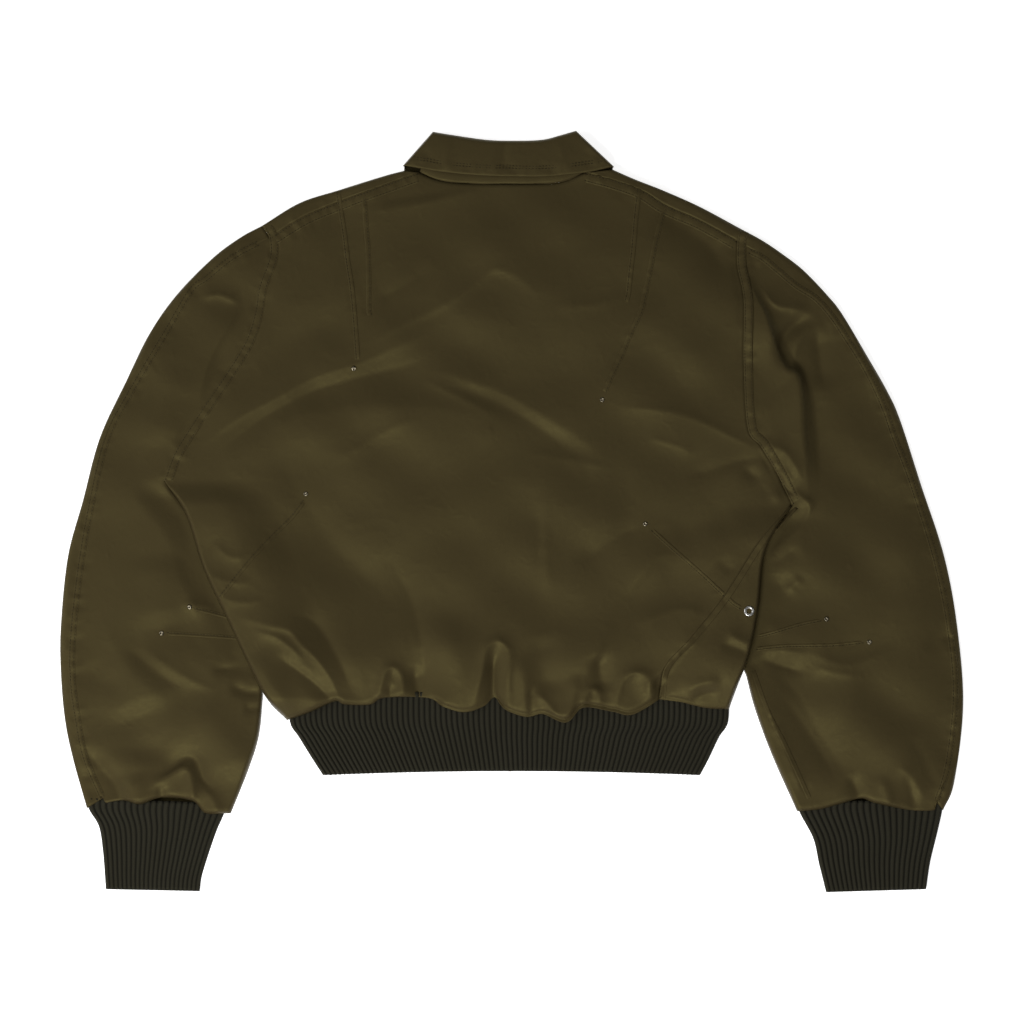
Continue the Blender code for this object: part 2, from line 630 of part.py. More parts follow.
def collar(lines):
    """The stand rises from the neck seam, and the leaf turns down over it."""
    low = COLLAR_LIFT
    high = COLLAR_LIFT + LAID_HEIGHT
    neck = lines["neck_back"] + (0, EDGE_TRIM)
    neck[0] += (NECK_END, NECK_END)
    neck[-1] += (-NECK_END, NECK_END)
    neck_left = lines["neck_front_left"][1:] + (0, EDGE_TRIM)
    neck_right = lines["neck_front_right"][:0:-1] + (0, EDGE_TRIM)
    top_back = curve(STAND_TOP, NECK_STEPS + 1)
    top_left = curve(STAND_TOP_FRONT_LEFT, len(neck_left) + 1)[1:]
    top_right = curve(STAND_TOP_FRONT_RIGHT, len(neck_right) + 1)[:-1]
    outside, inside = [], []
    for share in COLLAR_SHARES:
        rings = [a * (1 - share) + b * share for a, b in
                 ((neck, top_back), (neck_left, top_left), (neck_right, top_right))]
        outer, inner = neck_ring(*rings, low, high)
        outside.append(outer)
        inside.append(inner)
    cloth_wall("collar_stand", outside, inside)

    edge_back = curve(LEAF_EDGE_BACK, NECK_STEPS + 1)
    edge_left = curve(LEAF_FRONT_LEFT, len(neck_left) + 1)[1:]
    edge_right = curve(LEAF_FRONT_RIGHT, len(neck_right) + 1)[:-1]
    leaf_low = 0.0
    leaf_high = high + SEAM_GAP + CLOTH
    ways = [directions(neck, top_back), directions(neck_left, top_left), directions(neck_right, top_right)]
    fold, fold_left, fold_right = [top + way * LEAF_PAST for top, way in zip((top_back, top_left, top_right), ways)]
    fold[0, 0] -= LEAF_SPREAD
    fold[-1, 0] += LEAF_SPREAD
    outside, inside = [], []
    for share in COLLAR_SHARES:
        rings = [a * (1 - share) + b * share for a, b in
                 ((fold, edge_back), (fold_left, edge_left), (fold_right, edge_right))]
        outer, inner = neck_ring(*rings, leaf_low, leaf_high)
        outside.append(outer)
        inside.append(inner)
    cloth_wall("collar_leaf", outside, inside)


# ---------------------------------------------------------------- hardware

def highest_under(names, across, along, radius):
    """The highest point of the named panels under a round piece, in millimetres."""
    heights = []
    for name in names:
        mesh = bpy.data.objects[name].data
        tree = BVHTree.FromPolygons([v.co for v in mesh.vertices], [p.vertices for p in mesh.polygons])
        for k in range(8):
            turn = math.tau * k / 8
            start = Vector(((across + radius * math.cos(turn)) * MM, (along + radius * math.sin(turn)) * MM, 0.1))
            hit = tree.ray_cast(start, Vector((0, 0, -1)))[0]
            if hit:
                heights.append(hit.z / MM)
    return max(heights)


def rivet(name, across, along, panels):
    base = highest_under(panels, across, along, RIVET_RADIUS) + SEAM_GAP
    bm = bmesh.new()
    bmesh.ops.create_cone(bm, cap_ends=True, segments=RIVET_SIDES, radius1=RIVET_RADIUS * MM,
                          radius2=RIVET_RADIUS * RIVET_CROWN * MM, depth=RIVET_HEIGHT * MM)
    bmesh.ops.translate(bm, verts=bm.verts[:],
                        vec=(across * MM, along * MM, (base + RIVET_HEIGHT / 2) * MM))
    face_out(bm)
    add_object(name, bm, finish("steel", 0.3, 1.0))


def eyelet(name, across, along, panels):
    base = highest_under(panels, across, along, EYELET_RADIUS) + SEAM_GAP
    middle = (EYELET_RADIUS + EYELET_HOLE) / 2
    shoulder = EYELET_HEIGHT * EYELET_SHOULDER
    profile = ((EYELET_RADIUS, 0.0), (EYELET_RADIUS - EYELET_OUTER_RUN, shoulder), (middle, EYELET_HEIGHT),
               (EYELET_HOLE + EYELET_INNER_RUN, shoulder), (EYELET_HOLE, 0.0))
    bm = bmesh.new()
    verts = [bm.verts.new((r * MM, 0, z * MM)) for r, z in profile]
    edges = [bm.edges.new(pair) for pair in zip(verts, verts[1:] + verts[:1])]
    bmesh.ops.spin(bm, geom=verts + edges, cent=(0, 0, 0), axis=(0, 0, 1), angle=math.tau, steps=EYELET_SIDES,
                   use_merge=True)
    bmesh.ops.remove_doubles(bm, verts=bm.verts[:], dist=1e-6)
    bmesh.ops.translate(bm, verts=bm.verts[:], vec=(across * MM, along * MM, base * MM))
    face_out(bm)
    add_object(name, bm, finish("steel", 0.3, 1.0))


# ---------------------------------------------------------------- zip

def zip_strip(name, left, right, low, high, kind):
    """A strip along the zip that rises with the fronts towards the neck."""
    along = np.linspace(ZIP_TOP, ZIP_FOOT, ZIP_STEPS + 1)
    rise = lift(np.full(len(along), ZIP_CENTRE), along)
    over, under = [], []
    for y, up in zip(along, rise):
        over.append([(left, y, up + high), (right, y, up + high)])
        under.append([(left, y, up + low), (right, y, up + low)])
    return cloth_wall(name, over, under, kind=kind, roughness=0.7)


def zip_chain():
    tape_low = CLOTH + TAPE_GAP
    tape_high = tape_low + TAPE
    reach = TEETH_WIDTH / 2
    middle = (tape_low + tape_high) / 2
    zip_strip("zip_teeth", ZIP_CENTRE - reach, ZIP_CENTRE + reach, middle - TEETH / 2, middle + TEETH / 2, "tape")
    for side, way in (("left", -1), ("right", 1)):
        near = ZIP_CENTRE + way * (reach + SEAM_GAP)
        far = near + way * TAPE_WIDTH
        zip_strip("zip_tape_" + side, min(near, far), max(near, far), tape_low, tape_high, "tape")
    return middle


def box(bm, low, high):
    made = bmesh.ops.create_cube(bm, size=1)["verts"]
    size = [b - a for a, b in zip(low, high)]
    centre = [(a + b) / 2 for a, b in zip(low, high)]
    bmesh.ops.scale(bm, verts=made, vec=[s * MM for s in size])
    bmesh.ops.translate(bm, verts=made, vec=[c * MM for c in centre])
    return made


def cut_or_join(target, other, operation):
    """Applies one Boolean and removes the piece it used."""
    modifier = target.modifiers.new(operation, "BOOLEAN")
    modifier.operation = operation
    modifier.object = other
    bpy.context.view_layer.update()
    graph = bpy.context.evaluated_depsgraph_get()
    mesh = bpy.data.meshes.new_from_object(target.evaluated_get(graph))
    target.modifiers.clear()
    target.data = mesh
    bpy.data.objects.remove(other, do_unlink=True)


def zip_slider(middle):
    """The slider at the top of the chain, with the bail that holds the pull under it."""
    steel = finish("steel", 0.35, 1.0)
    foot = ZIP_TOP + SEAM_GAP
    head = foot + SLIDER_LENGTH
    centre = (foot + head) / 2
    level = lift(ZIP_CENTRE, centre) + middle
    low, high = level - SLIDER / 2, level + SLIDER / 2
    half = SLIDER_WIDTH / 2
    bm = bmesh.new()
    body = box(bm, (ZIP_CENTRE - half, foot, low), (ZIP_CENTRE + half, head, high))
    for vert in body:
        if vert.co.y < centre * MM:
            vert.co.x = ZIP_CENTRE * MM + (vert.co.x - ZIP_CENTRE * MM) * SLIDER_NECK / SLIDER_WIDTH
    slider = add_object("zip_slider", bm, steel)
    bm = bmesh.new()
    reach = BAIL_LENGTH / 2
    box(bm, (ZIP_CENTRE - BAIL_WIDTH / 2, centre - reach, low - BAIL_DROP),
        (ZIP_CENTRE + BAIL_WIDTH / 2, centre + reach, low + BAIL_WIRE))
    bail = add_object("bail", bm, steel)
    bm = bmesh.new()
    box(bm, (ZIP_CENTRE - BAIL_WIDTH, centre - reach + BAIL_WIRE, low - BAIL_DROP + BAIL_WIRE),
        (ZIP_CENTRE + BAIL_WIDTH, centre + reach - BAIL_WIRE, low))
    hollow = add_object("bail_hollow", bm, steel)
    cut_or_join(bail, hollow, "DIFFERENCE")
    cut_or_join(slider, bail, "UNION")
    return centre, low - PULL_PLAY


def zip_pull(axis_along, axis_height):
    """The pull tab lies along the closed chain; its bar turns in the bail."""
    steel = finish("steel", 0.35, 1.0)
    half = PULL_WIDTH / 2
    top = PULL_BAR / 2
    bm = bmesh.new()
    box(bm, (-half, top - PULL_LENGTH, -PULL / 2), (half, top, PULL / 2))
    upright = [e for e in bm.edges if abs(e.verts[0].co.z - e.verts[1].co.z) > 1e-6]
    bmesh.ops.bevel(bm, geom=upright, offset=PULL_CORNER * MM, offset_type="OFFSET", segments=3, profile=0.5,
                    affect="EDGES", material=-1)
    tab = add_object("zip_pull", bm, steel)
    wide, long = PULL_WINDOW
    bm = bmesh.new()
    box(bm, (-wide / 2, -top - long, -PULL), (wide / 2, -top, PULL))
    window = add_object("pull_window", bm, steel)
    cut_or_join(tab, window, "DIFFERENCE")
    tab.location = (ZIP_CENTRE * MM, axis_along * MM, axis_height * MM)


def main():
    clear_scene()
    lines = body_lines()
    back_panel(lines)
    side_panel(lines)
    front(lines, "left")
    front(lines, "right")
    for side in ("left", "right"):
        sleeve(lines, side)
        cuff(side)
    hem_rib(lines)
    collar(lines)
    for name, across, along in RIVETS:
        panels = ["back_panel"]
        if "sleeve" in name:
            panels = ["sleeve_left_back" if across < 0 else "sleeve_right_back"]
        rivet(name, across, along, panels)
    eyelet(*EYELET, ["side_panel_right"])
    zip_pull(*zip_slider(zip_chain()))


main()
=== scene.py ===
"""Looks of a satin nylon bomber jacket that lies flat on its front, back up, collar towards +Y.

The script is laid out as an add-on: sizes and colours are properties, and each group of pieces has its own
operator. Run as a script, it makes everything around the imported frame. Tables are in millimetres, "across"
along +X and "along" along +Y, and MM turns them into metres when a mesh is made.
"""
import math
import random

import bmesh
import bpy
import numpy as np
from bpy.props import FloatProperty, FloatVectorProperty, PointerProperty
from mathutils import Matrix, Vector


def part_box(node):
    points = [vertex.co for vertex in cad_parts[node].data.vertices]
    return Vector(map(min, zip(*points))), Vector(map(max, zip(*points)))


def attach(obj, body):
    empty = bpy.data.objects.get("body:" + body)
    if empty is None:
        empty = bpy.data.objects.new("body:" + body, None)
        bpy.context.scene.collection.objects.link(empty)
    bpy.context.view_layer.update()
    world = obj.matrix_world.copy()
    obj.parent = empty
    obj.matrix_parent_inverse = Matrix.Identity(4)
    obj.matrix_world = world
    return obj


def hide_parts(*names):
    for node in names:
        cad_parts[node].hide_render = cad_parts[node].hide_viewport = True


bl_info = {
    "name": "Bomber jacket, laid flat",
    "version": (1, 0, 0),
    "blender": (4, 5, 0),
    "location": "View3D > Sidebar > Jacket",
    "description": "Makes the cloth, ribs, seams and metal of a bomber jacket around its packed frame",
    "category": "Add Mesh",
}

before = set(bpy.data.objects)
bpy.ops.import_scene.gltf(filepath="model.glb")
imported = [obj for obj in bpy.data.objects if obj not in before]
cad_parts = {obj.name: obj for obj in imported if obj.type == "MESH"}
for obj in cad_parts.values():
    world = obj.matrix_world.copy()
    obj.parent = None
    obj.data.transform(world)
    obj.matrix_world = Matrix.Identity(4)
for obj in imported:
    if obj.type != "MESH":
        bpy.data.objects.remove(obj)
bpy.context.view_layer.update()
MM = 0.001

# ---------------------------------------------------------------- cut lines, each a table of (across, along)

SHOULDER_SEAM_LEFT = ((-242, 274), (-208, 295), (-170, 311), (-132, 325), (-93, 339))
SHOULDER_SEAM_RIGHT = ((73, 339), (103, 331), (130, 321), (154, 306), (188, 291), (226, 270))
SHOULDER_EDGE_LEFT = ((-250, 286), (-212, 309), (-172, 322), (-127, 336), (-108, 341))
SHOULDER_EDGE_RIGHT = ((101, 342), (124, 332), (152, 321), (188, 305), (229, 283))
NECK_SEAM_BACK = ((-93, 339), (-77, 332), (-52, 328), (1, 327), (47, 329), (73, 339))
NECK_SEAM_FRONT_LEFT = ((-93, 339), (-72, 298), (-40, 271), (-9, 262))
NECK_SEAM_FRONT_RIGHT = ((3, 262), (34, 271), (58, 298), (73, 339))
ARMHOLE_LEFT = ((-242, 274), (-242, 254), (-252, 226), (-257, 197), (-266, 170), (-286, 137),
                (-313, 97), (-336, 60), (-347, 31))
ARMHOLE_RIGHT = ((226, 270), (226, 245), (232, 212), (232, 152), (236, 85), (249, 66), (264, 41), (281, 7))
SIDE_LEFT = ((-347, 31), (-326, -2), (-308, -57), (-284, -108), (-249, -180), (-225, -208))
SIDE_RIGHT = ((281, 7), (262, -20), (251, -48), (246, -97), (237, -142), (224, -177), (217, -197))
SIDE_SEAM_RIGHT = ((281, 7), (250, -26), (213, -83), (181, -123), (154, -153), (147, -187))
HEM_BACK = ((-225, -208), (-202, -200), (-177, -189), (-167, -192), (-142, -192), (-127, -185), (-84, -185),
            (-67, -194), (-47, -199), (-28, -193), (-17, -184), (-6, -196), (15, -203), (31, -200),
            (54, -208), (71, -193), (101, -197), (120, -200), (147, -185))
HEM_SIDE = ((147, -185), (167, -188), (193, -195), (217, -197))
SLEEVES = {
    "left": {
        "outer": ((-250, 286), (-272, 274), (-300, 253), (-336, 216), (-363, 177), (-386, 130),
                  (-412, 74), (-429, 11), (-444, -45), (-451, -114), (-451, -160), (-447, -207),
                  (-439, -246), (-425, -296)),
        "tucked": 8.0,
        "inner": ((-249, -184), (-253, -223), (-263, -256), (-281, -301)),
        "cuff": ((-425, -296), (-392, -288), (-372, -292), (-349, -285), (-319, -289), (-306, -301),
                 (-281, -301)),
        "seam": ((-253, 269), (-280, 254), (-306, 233), (-321, 221), (-350, 172), (-382, 118), (-405, 72),
                 (-422, -1), (-432, -61), (-439, -127), (-439, -167), (-434, -207), (-426, -246),
                 (-409, -286)),
    },
    "right": {
        "outer": ((229, 283), (251, 271), (273, 256), (292, 241), (315, 217), (330, 198), (355, 156),
                  (375, 121), (388, 92), (409, 27), (432, -44), (445, -114), (451, -193), (442, -270),
                  (431, -298)),
        "tucked": -8.0,
        "inner": ((234, -163), (243, -197), (260, -243), (285, -299)),
        "cuff": ((431, -298), (399, -298), (363, -291), (349, -286), (330, -291), (307, -297), (285, -299)),
        "seam": ((236, 261), (250, 254), (266, 241), (284, 226), (304, 213), (320, 195), (332, 177),
                 (352, 145), (370, 108), (382, 75), (401, 25), (424, -50), (437, -115), (443, -180),
                 (436, -250), (424, -290)),
    },
}

# Ribbed tubes: a row for each ring, (left, right, along at left, along at right)
CUFF_RINGS = {
    "left": ((-424, -285, -286, -291), (-423, -288, -297, -302), (-413, -295, -314, -318),
             (-409, -303, -338, -341), (-407, -310, -362, -364), (-406, -312, -377, -379)),
    "right": ((288, 429, -289, -288), (287, 430, -299, -298), (301, 425, -326, -321), (307, 418, -352, -350),
              (314, 414, -380, -377)),
}
HEM_RINGS = ((-222, 216, -210), (-213, 207, -225), (-200, 197, -246), (-189, 188, -263))

# Collar
FOLD_BACK = ((-79, 380), (-61, 377), (-26, 372), (1, 371), (30, 372), (50, 377), (64, 381))
LEAF_EDGE_BACK = ((-109, 346), (-91, 343), (-66, 339), (-32, 336), (1, 335), (34, 335), (74, 339), (102, 345))
LEAF_FRONT_LEFT = ((-109, 345), (-101, 300), (-82, 262), (-52, 232), (-20, 246))
LEAF_FRONT_RIGHT = ((14, 246), (44, 232), (72, 262), (93, 300), (102, 345))
FOLD_FRONT_LEFT = ((-79, 380), (-66, 338), (-42, 310), (-10, 300))
FOLD_FRONT_RIGHT = ((4, 300), (34, 310), (52, 338), (64, 381))

# Heights of the layers
LAID_HEIGHT = 7.0
SLEEVE_LIFT = 7.4
HIGHEST = 27.0
COLLAR_LIFT = 2.4
CLOTH = 1.0
ZIP_CENTRE = -3.0
ZIP_SLOT = 12.0

# Walls of the cloth, and the air under a rivet or eyelet
KNIT = 1.8
LEAF_CLOTH = 1.6
LAP_CLOTH = 0.5
TAPE_CLOTH = 0.8
FASTENER_GAP = 0.1

# How the cloth swells, waves and rounds off at its edges
FULLNESS = 4.0
FULLNESS_REACH = 70
WAVE_LENGTH = 95.0
WAVE_HEIGHT = 1.4
WAVES = 7
ARMHOLE_CALM = 9
HEM_SWELL = 4.2
HEM_SWELL_FROM = 46
HEM_SWELL_REACH = 34
LEAST_HEIGHT = 3.0
SIDE_ROLL = 4.0
SLEEVE_ROLL = 5.0
RIB_ROLL = 5.5
SHOULDER_ROLL = 6.0
SLEEVE_TURN_ROLL = 6.5
FLOOR_ROLL = 3.5
FLOOR_ROLL_STEPS = (0.4, 1.4, FLOOR_ROLL)

# Folds: where they are (all, body, left or right sleeve), the points that they follow, height (negative for
# a trough), reach on the left and right of someone who walks along them, and how round (2) or sharp (1)
FOLDS = (
    # from the left armpit up across the back
    ("all", ((-322, 56), (-280, 89), (-236, 113), (-197, 133), (-155, 147), (-114, 164), (-77, 184),
             (-60, 198)),
     1.7, 24, 4, 1.2),
    ("all", ((-304, 46), (-262, 84), (-232, 103), (-195, 122), (-150, 135), (-104, 146), (-66, 158)),
     -2.2, 5, 26, 1.3),
    ("all", ((-150, 204), (-163, 196), (-212, 167), (-255, 135), (-290, 100)), -2.2, 20, 20, 2.0),
    ("body", ((-318, 14), (-290, 34), (-240, 80), (-190, 100), (-100, 104), (-20, 92), (40, 70)),
     3.4, 16, 46, 1.6),
    ("body", ((-153, 162), (-114, 184), (-65, 208), (-36, 228), (-19, 241), (-2, 238), (8, 232), (26, 219),
              (52, 218)), 1.2, 12, 4, 1.1),
    ("body", ((-142, 208), (-105, 227), (-76, 247)), -1.0, 8, 8, 1.0),
    ("body", ((-182, 48), (-138, 74), (-90, 98)), 1.2, 9, 9, 1.0),
    ("body", ((-30, 318), (-62, 285), (-92, 245), (-118, 215)), -2.4, 26, 26, 2.0),
    ("body", ((-150, 300), (-90, 309), (-25, 324)), 1.3, 6, 7, 1.0),
    ("body", ((-145, 308), (-100, 315), (-55, 322)), -0.9, 5, 5, 1.0),
    # centre
    ("body", ((-104, 141), (-65, 138), (-36, 128), (-12, 120), (29, 97), (65, 74), (104, 46)),
     1.1, 20, 4, 1.2),
    ("body", ((-92, 129), (-60, 125), (-30, 115), (0, 101), (34, 80), (66, 58), (92, 40)), -1.3, 5, 20, 1.2),
    ("body", ((-95, 135), (-65, 121), (-36, 106), (-8, 90)), 1.1, 7, 4, 1.0),
    ("body", ((10, 60), (60, 52), (104, 42)), 1.0, 7, 9, 1.0),
    ("body", ((33, 30), (33, -30), (37, -92)), 1.4, 7, 7, 1.0),
    ("body", ((28, 10), (27, -60)), -0.8, 6, 6, 1.0),
    ("body", ((40, 206), (75, 206), (112, 214)), 0.9, 6, 6, 1.0),
    ("body", ((96, 106), (150, 101), (185, 92), (216, 77), (240, 66), (256, 59)), 1.9, 10, 8, 1.0),
    ("body", ((170, 34), (200, 42), (225, 50), (256, 56)), -2.6, 9, 8, 1.1),
    ("body", ((130, 76), (165, 66), (185, 55)), 0.9, 8, 6, 1.0),
    ("body", ((150, 256), (186, 222), (182, 170), (150, 130)), 4.2, 42, 42, 2.0),
    ("body", ((140, 303), (172, 283), (200, 262), (216, 232)), -3.0, 12, 15, 1.3),
    ("body", ((20, 0), (70, 12), (120, 20)), 1.6, 30, 30, 2.0),
    # lower right of the back
    ("body", ((60, -190), (70, -172), (92, -130), (118, -81), (136, -53), (151, -43), (170, -46), (190, -62)),
     3.8, 18, 11, 1.1),
    ("body", ((80, -178), (98, -120), (120, -80), (146, -60)), -2.4, 8, 16, 1.1),
    ("body", ((136, -14), (115, -20), (98, -29), (60, -54)), -2.6, 14, 10, 1.2),
    ("body", ((118, -117), (150, -101), (176, -97), (202, -110)), 3.0, 8, 24, 1.1),
    ("body", ((206, -98), (188, -124), (166, -148), (150, -176), (146, -196)), -5.0, 14, 9, 1.2),
    ("body", ((196, -110), (165, -142), (140, -170), (128, -190)), 4.0, 9, 14, 1.2),
    ("body", ((160, -30), (190, -20), (230, -10)), -1.4, 14, 14, 2.0),
    ("body", ((205, -45), (212, -52), (222, -62)), -1.4, 5, 6, 1.0),
    ("body", ((206, -130), (224, -136), (240, -144)), -2.4, 6, 8, 1.2),
    ("body", ((212, -118), (228, -128), (243, -134)), 2.2, 6, 6, 1.2),
    ("body", ((170, -182), (188, -172), (210, -168)), 2.6, 7, 9, 1.2),
    ("body", ((176, -192), (192, -182), (208, -180)), -2.0, 5, 5, 1.1),
    # lower left of the back
    ("body", ((-246, 64), (-210, 12), (-172, -40), (-132, -82), (-108, -120)), -5.4, 28, 24, 1.6),
    ("body", ((-132, -36), (-112, -66), (-101, -88), (-92, -126), (-86, -167), (-84, -200)),
     -5.6, 20, 36, 1.15),
    ("body", ((-300, -10), (-262, -40), (-222, -86), (-190, -120)), 2.6, 34, 30, 2.0),
    ("body", ((-282, -102), (-248, -112), (-223, -118), (-211, -131), (-193, -149), (-178, -172),
              (-168, -200)),
     5.0, 24, 6, 1.1),
    ("body", ((-262, -118), (-238, -124), (-222, -134), (-206, -150)), 2.4, 5, 5, 1.1),
    ("body", ((-238, -142), (-214, -158), (-194, -174), (-174, -196)), -6.0, 6, 15, 1.3),
    ("body", ((-262, -138), (-240, -172), (-218, -205)), 3.4, 13, 12, 1.8),
    ("body", ((-226, -100), (-196, -112), (-172, -150), (-158, -186)), -1.8, 8, 10, 1.2),
    ("body", ((-300, -30), (-282, -44), (-262, -46)), 1.4, 6, 6, 1.0),
    ("body", ((-306, -62), (-280, -70), (-258, -70)), 1.2, 7, 6, 1.0),
    ("body", ((-296, -84), (-270, -90), (-246, -88)), 1.1, 6, 6, 1.0),
    # gathers over the hem rib
    ("body", ((-136, -200), (-133, -184), (-127, -161), (-121, -155), (-114, -158), (-109, -170),
              (-108, -200)),
     3.6, 5, 5, 1.2),
    ("body", ((-122, -170), (-121, -204)), -3.0, 4, 4, 1.4),
    ("body", ((-98, -150), (-96, -172), (-90, -204)), -6.0, 9, 8, 1.4),
    ("body", ((-62, -100), (-60, -150), (-52, -214)), 4.6, 24, 22, 2.0),
    ("body", ((-42, -212), (-30, -160), (-26, -137), (-17, -129), (-9, -131), (-3, -143), (-4, -178),
              (0, -212)),
     4.8, 6, 6, 1.2),
    ("body", ((-18, -136), (-19, -165), (-18, -204)), -6.0, 5, 6, 1.5),
    ("body", ((8, -140), (12, -175), (18, -212)), 3.4, 10, 8, 1.6),
    ("body", ((28, -120), (34, -160), (36, -186)), -3.6, 20, 16, 2.0),
    ("body", ((20, -172), (19, -190), (19, -212)), -3.4, 4, 4, 1.1),
    ("body", ((18, -176), (36, -192), (52, -216)), 3.0, 7, 5, 1.2),
    ("body", ((66, -160), (60, -190), (54, -218)), 4.4, 10, 9, 1.5),
    ("body", ((70, -210), (73, -186), (78, -177), (86, -180), (90, -205)), 3.2, 4, 5, 1.2),
    ("body", ((84, -140), (88, -160), (92, -182)), -4.4, 9, 8, 1.5),
    ("body", ((101, -206), (105, -184), (110, -168), (122, -160), (134, -164), (139, -178), (139, -206)),
     4.4, 5, 6, 1.2),
    ("body", ((144, -160), (148, -176), (152, -206)), -6.0, 5, 6, 1.4),
    # left shoulder, armhole and sleeve head
    ("all", ((-196, 300), (-228, 276), (-246, 248), (-260, 216), (-280, 178), (-298, 136), (-314, 96),
             (-336, 52)),
     -4.6, 15, 26, 1.4),
    ("left", ((-314, 214), (-296, 217), (-283, 214), (-270, 207)), 2.6, 6, 5, 1.1),
    ("left", ((-272, 212), (-280, 192), (-296, 165), (-306, 140), (-314, 105)), 2.8, 7, 24, 1.2),
    ("left", ((-330, 150), (-345, 110), (-352, 60)), 3.0, 22, 24, 2.0),
    # left sleeve
    ("left", ((-412, -100), (-393, -140), (-362, -176), (-330, -196)), 2.0, 26, 12, 1.4),
    ("left", ((-386, -132), (-355, -160), (-324, -180)), -1.8, 7, 6, 1.0),
    ("left", ((-376, -130), (-350, -150), (-322, -168), (-290, -180)), 1.8, 9, 7, 1.0),
    ("left", ((-430, -150), (-410, -168), (-380, -176)), -2.2, 14, 14, 2.0),
    ("left", ((-376, -186), (-364, -220), (-364, -256)), -4.6, 28, 30, 2.0),
    ("left", ((-330, -186), (-296, -216), (-274, -246), (-268, -276)), 4.6, 20, 22, 2.0),
    ("left", ((-362, -266), (-348, -260), (-328, -246), (-316, -249), (-308, -268), (-292, -286)),
     -7.0, 8, 6, 1.3),
    ("left", ((-366, -276), (-344, -264), (-328, -256), (-320, -266), (-317, -304)), 5.4, 4, 7, 1.1),
    ("left", ((-352, -270), (-350, -284), (-349, -306)), -5.0, 4, 4, 1.3),
    ("left", ((-384, -262), (-378, -280), (-374, -306)), 4.0, 14, 12, 2.0),
    ("left", ((-310, -272), (-298, -290), (-290, -312)), 3.0, 7, 7, 1.6),
    ("left", ((-430, -232), (-410, -256), (-394, -276), (-390, -300)), -4.0, 7, 8, 1.2),
    ("left", ((-302, -158), (-276, -155), (-250, -150)), -3.6, 5, 6, 1.1),
    ("left", ((-284, -138), (-268, -146), (-254, -150)), -3.4, 5, 5, 1.1),
    ("left", ((-284, -172), (-264, -180), (-244, -180)), -3.2, 6, 6, 1.2),
    ("left", ((-270, -196), (-254, -196), (-246, -194)), -1.8, 4, 4, 1.1),
    ("left", ((-332, -92), (-306, -94), (-286, -100)), 2.0, 6, 7, 1.2),
    ("left", ((-356, -40), (-352, -90), (-346, -118)), 3.0, 22, 26, 2.0),
    ("left", ((-318, -20), (-306, -60), (-292, -96)), -4.0, 16, 22, 2.0),
    ("left", ((-444, -120), (-436, -176), (-430, -226)), 1.6, 12, 9, 1.5),
    # right armhole: the flap of the sleeve beside it, its dent, and the bunched armpit
    ("all", ((228, 256), (240, 222), (252, 198), (262, 168), (273, 144), (285, 136), (289, 110), (291, 76),
             (294, 44), (297, 6)), 11.0, 4.5, 30, 1.3),
    ("right", ((258, 204), (278, 160), (296, 130), (303, 90), (306, 50), (308, 10)), -5.4, 30, 5, 1.3),
    ("right", ((304, 194), (290, 190), (276, 180), (269, 164), (276, 140)), -8.0, 9, 7, 1.6),
    ("right", ((248, 226), (262, 208), (280, 203), (300, 199)), 3.4, 10, 4, 1.1),
    ("right", ((302, 192), (285, 169), (280, 142)), 3.4, 5, 5, 1.1),
    ("right", ((304, 186), (306, 160), (312, 120)), -4.4, 16, 8, 1.3),
    ("right", ((330, 196), (352, 152), (376, 104), (392, 60)), 2.4, 10, 16, 1.3),
    ("all", ((244, 66), (262, 40), (276, 22), (294, 8)), -3.2, 5, 5, 1.1),
    ("all", ((228, 48), (248, 30), (266, 14)), -3.0, 6, 6, 1.2),
    ("all", ((248, 70), (272, 60), (292, 30)), 2.4, 7, 7, 1.3),
    ("body", ((240, 36), (258, 22), (272, 6)), 2.4, 5, 5, 1.2),
    # right sleeve
    ("right", ((266, 14), (284, 16), (297, 6), (290, -12), (273, -29), (258, -43), (250, -54)),
     5.0, 5, 6, 1.3),
    ("right", ((280, 2), (268, -14), (256, -36)), -5.0, 4, 5, 1.5),
    ("right", ((262, -56), (260, -90), (252, -116)), -4.2, 24, 18, 2.0),
    ("right", ((256, -50), (268, -48), (286, -34)), -2.0, 7, 7, 1.3),
    ("right", ((272, -80), (282, -72), (290, -64)), 1.6, 6, 6, 1.1),
    ("right", ((232, -148), (262, -160), (284, -182), (309, -224), (330, -258), (348, -290)),
     -5.0, 28, 20, 1.15),
    ("right", ((262, -178), (286, -206), (312, -246), (330, -276)), -2.4, 10, 12, 1.4),
    ("right", ((246, -166), (258, -202), (278, -250), (292, -290)), 2.0, 8, 8, 1.3),
    ("right", ((300, -168), (340, -206), (382, -244), (412, -280)), 4.8, 34, 30, 2.0),
    ("right", ((336, -168), (380, -196), (404, -228)), -2.6, 22, 22, 2.0),
    ("right", ((396, -220), (412, -250), (424, -280)), -1.4, 7, 7, 1.2),
    ("right", ((286, -134), (328, -152), (356, -147), (386, -132)), 1.8, 8, 12, 1.1),
    ("right", ((296, -152), (320, -160), (352, -164)), 1.2, 6, 6, 1.1),
    ("right", ((240, -146), (264, -152), (296, -162)), -3.4, 7, 6, 1.2),
    ("right", ((238, -136), (262, -138), (300, -142)), 1.4, 5, 5, 1.1),
    ("right", ((396, 40), (400, -60), (404, -150)), 3.0, 22, 26, 2.0),
    ("right", ((350, 60), (346, -20), (340, -80)), -2.4, 30, 30, 2.0),
    ("right", ((334, -262), (344, -276), (350, -304)), -5.0, 7, 7, 1.4),
    ("right", ((366, -262), (374, -280), (380, -306)), 2.0, 6, 6, 1.4),
    ("right", ((392, -256), (400, -278), (402, -306)), -2.0, 4, 5, 1.2),
    ("right", ((384, -250), (396, -262), (414, -290)), 2.0, 6, 6, 1.2),
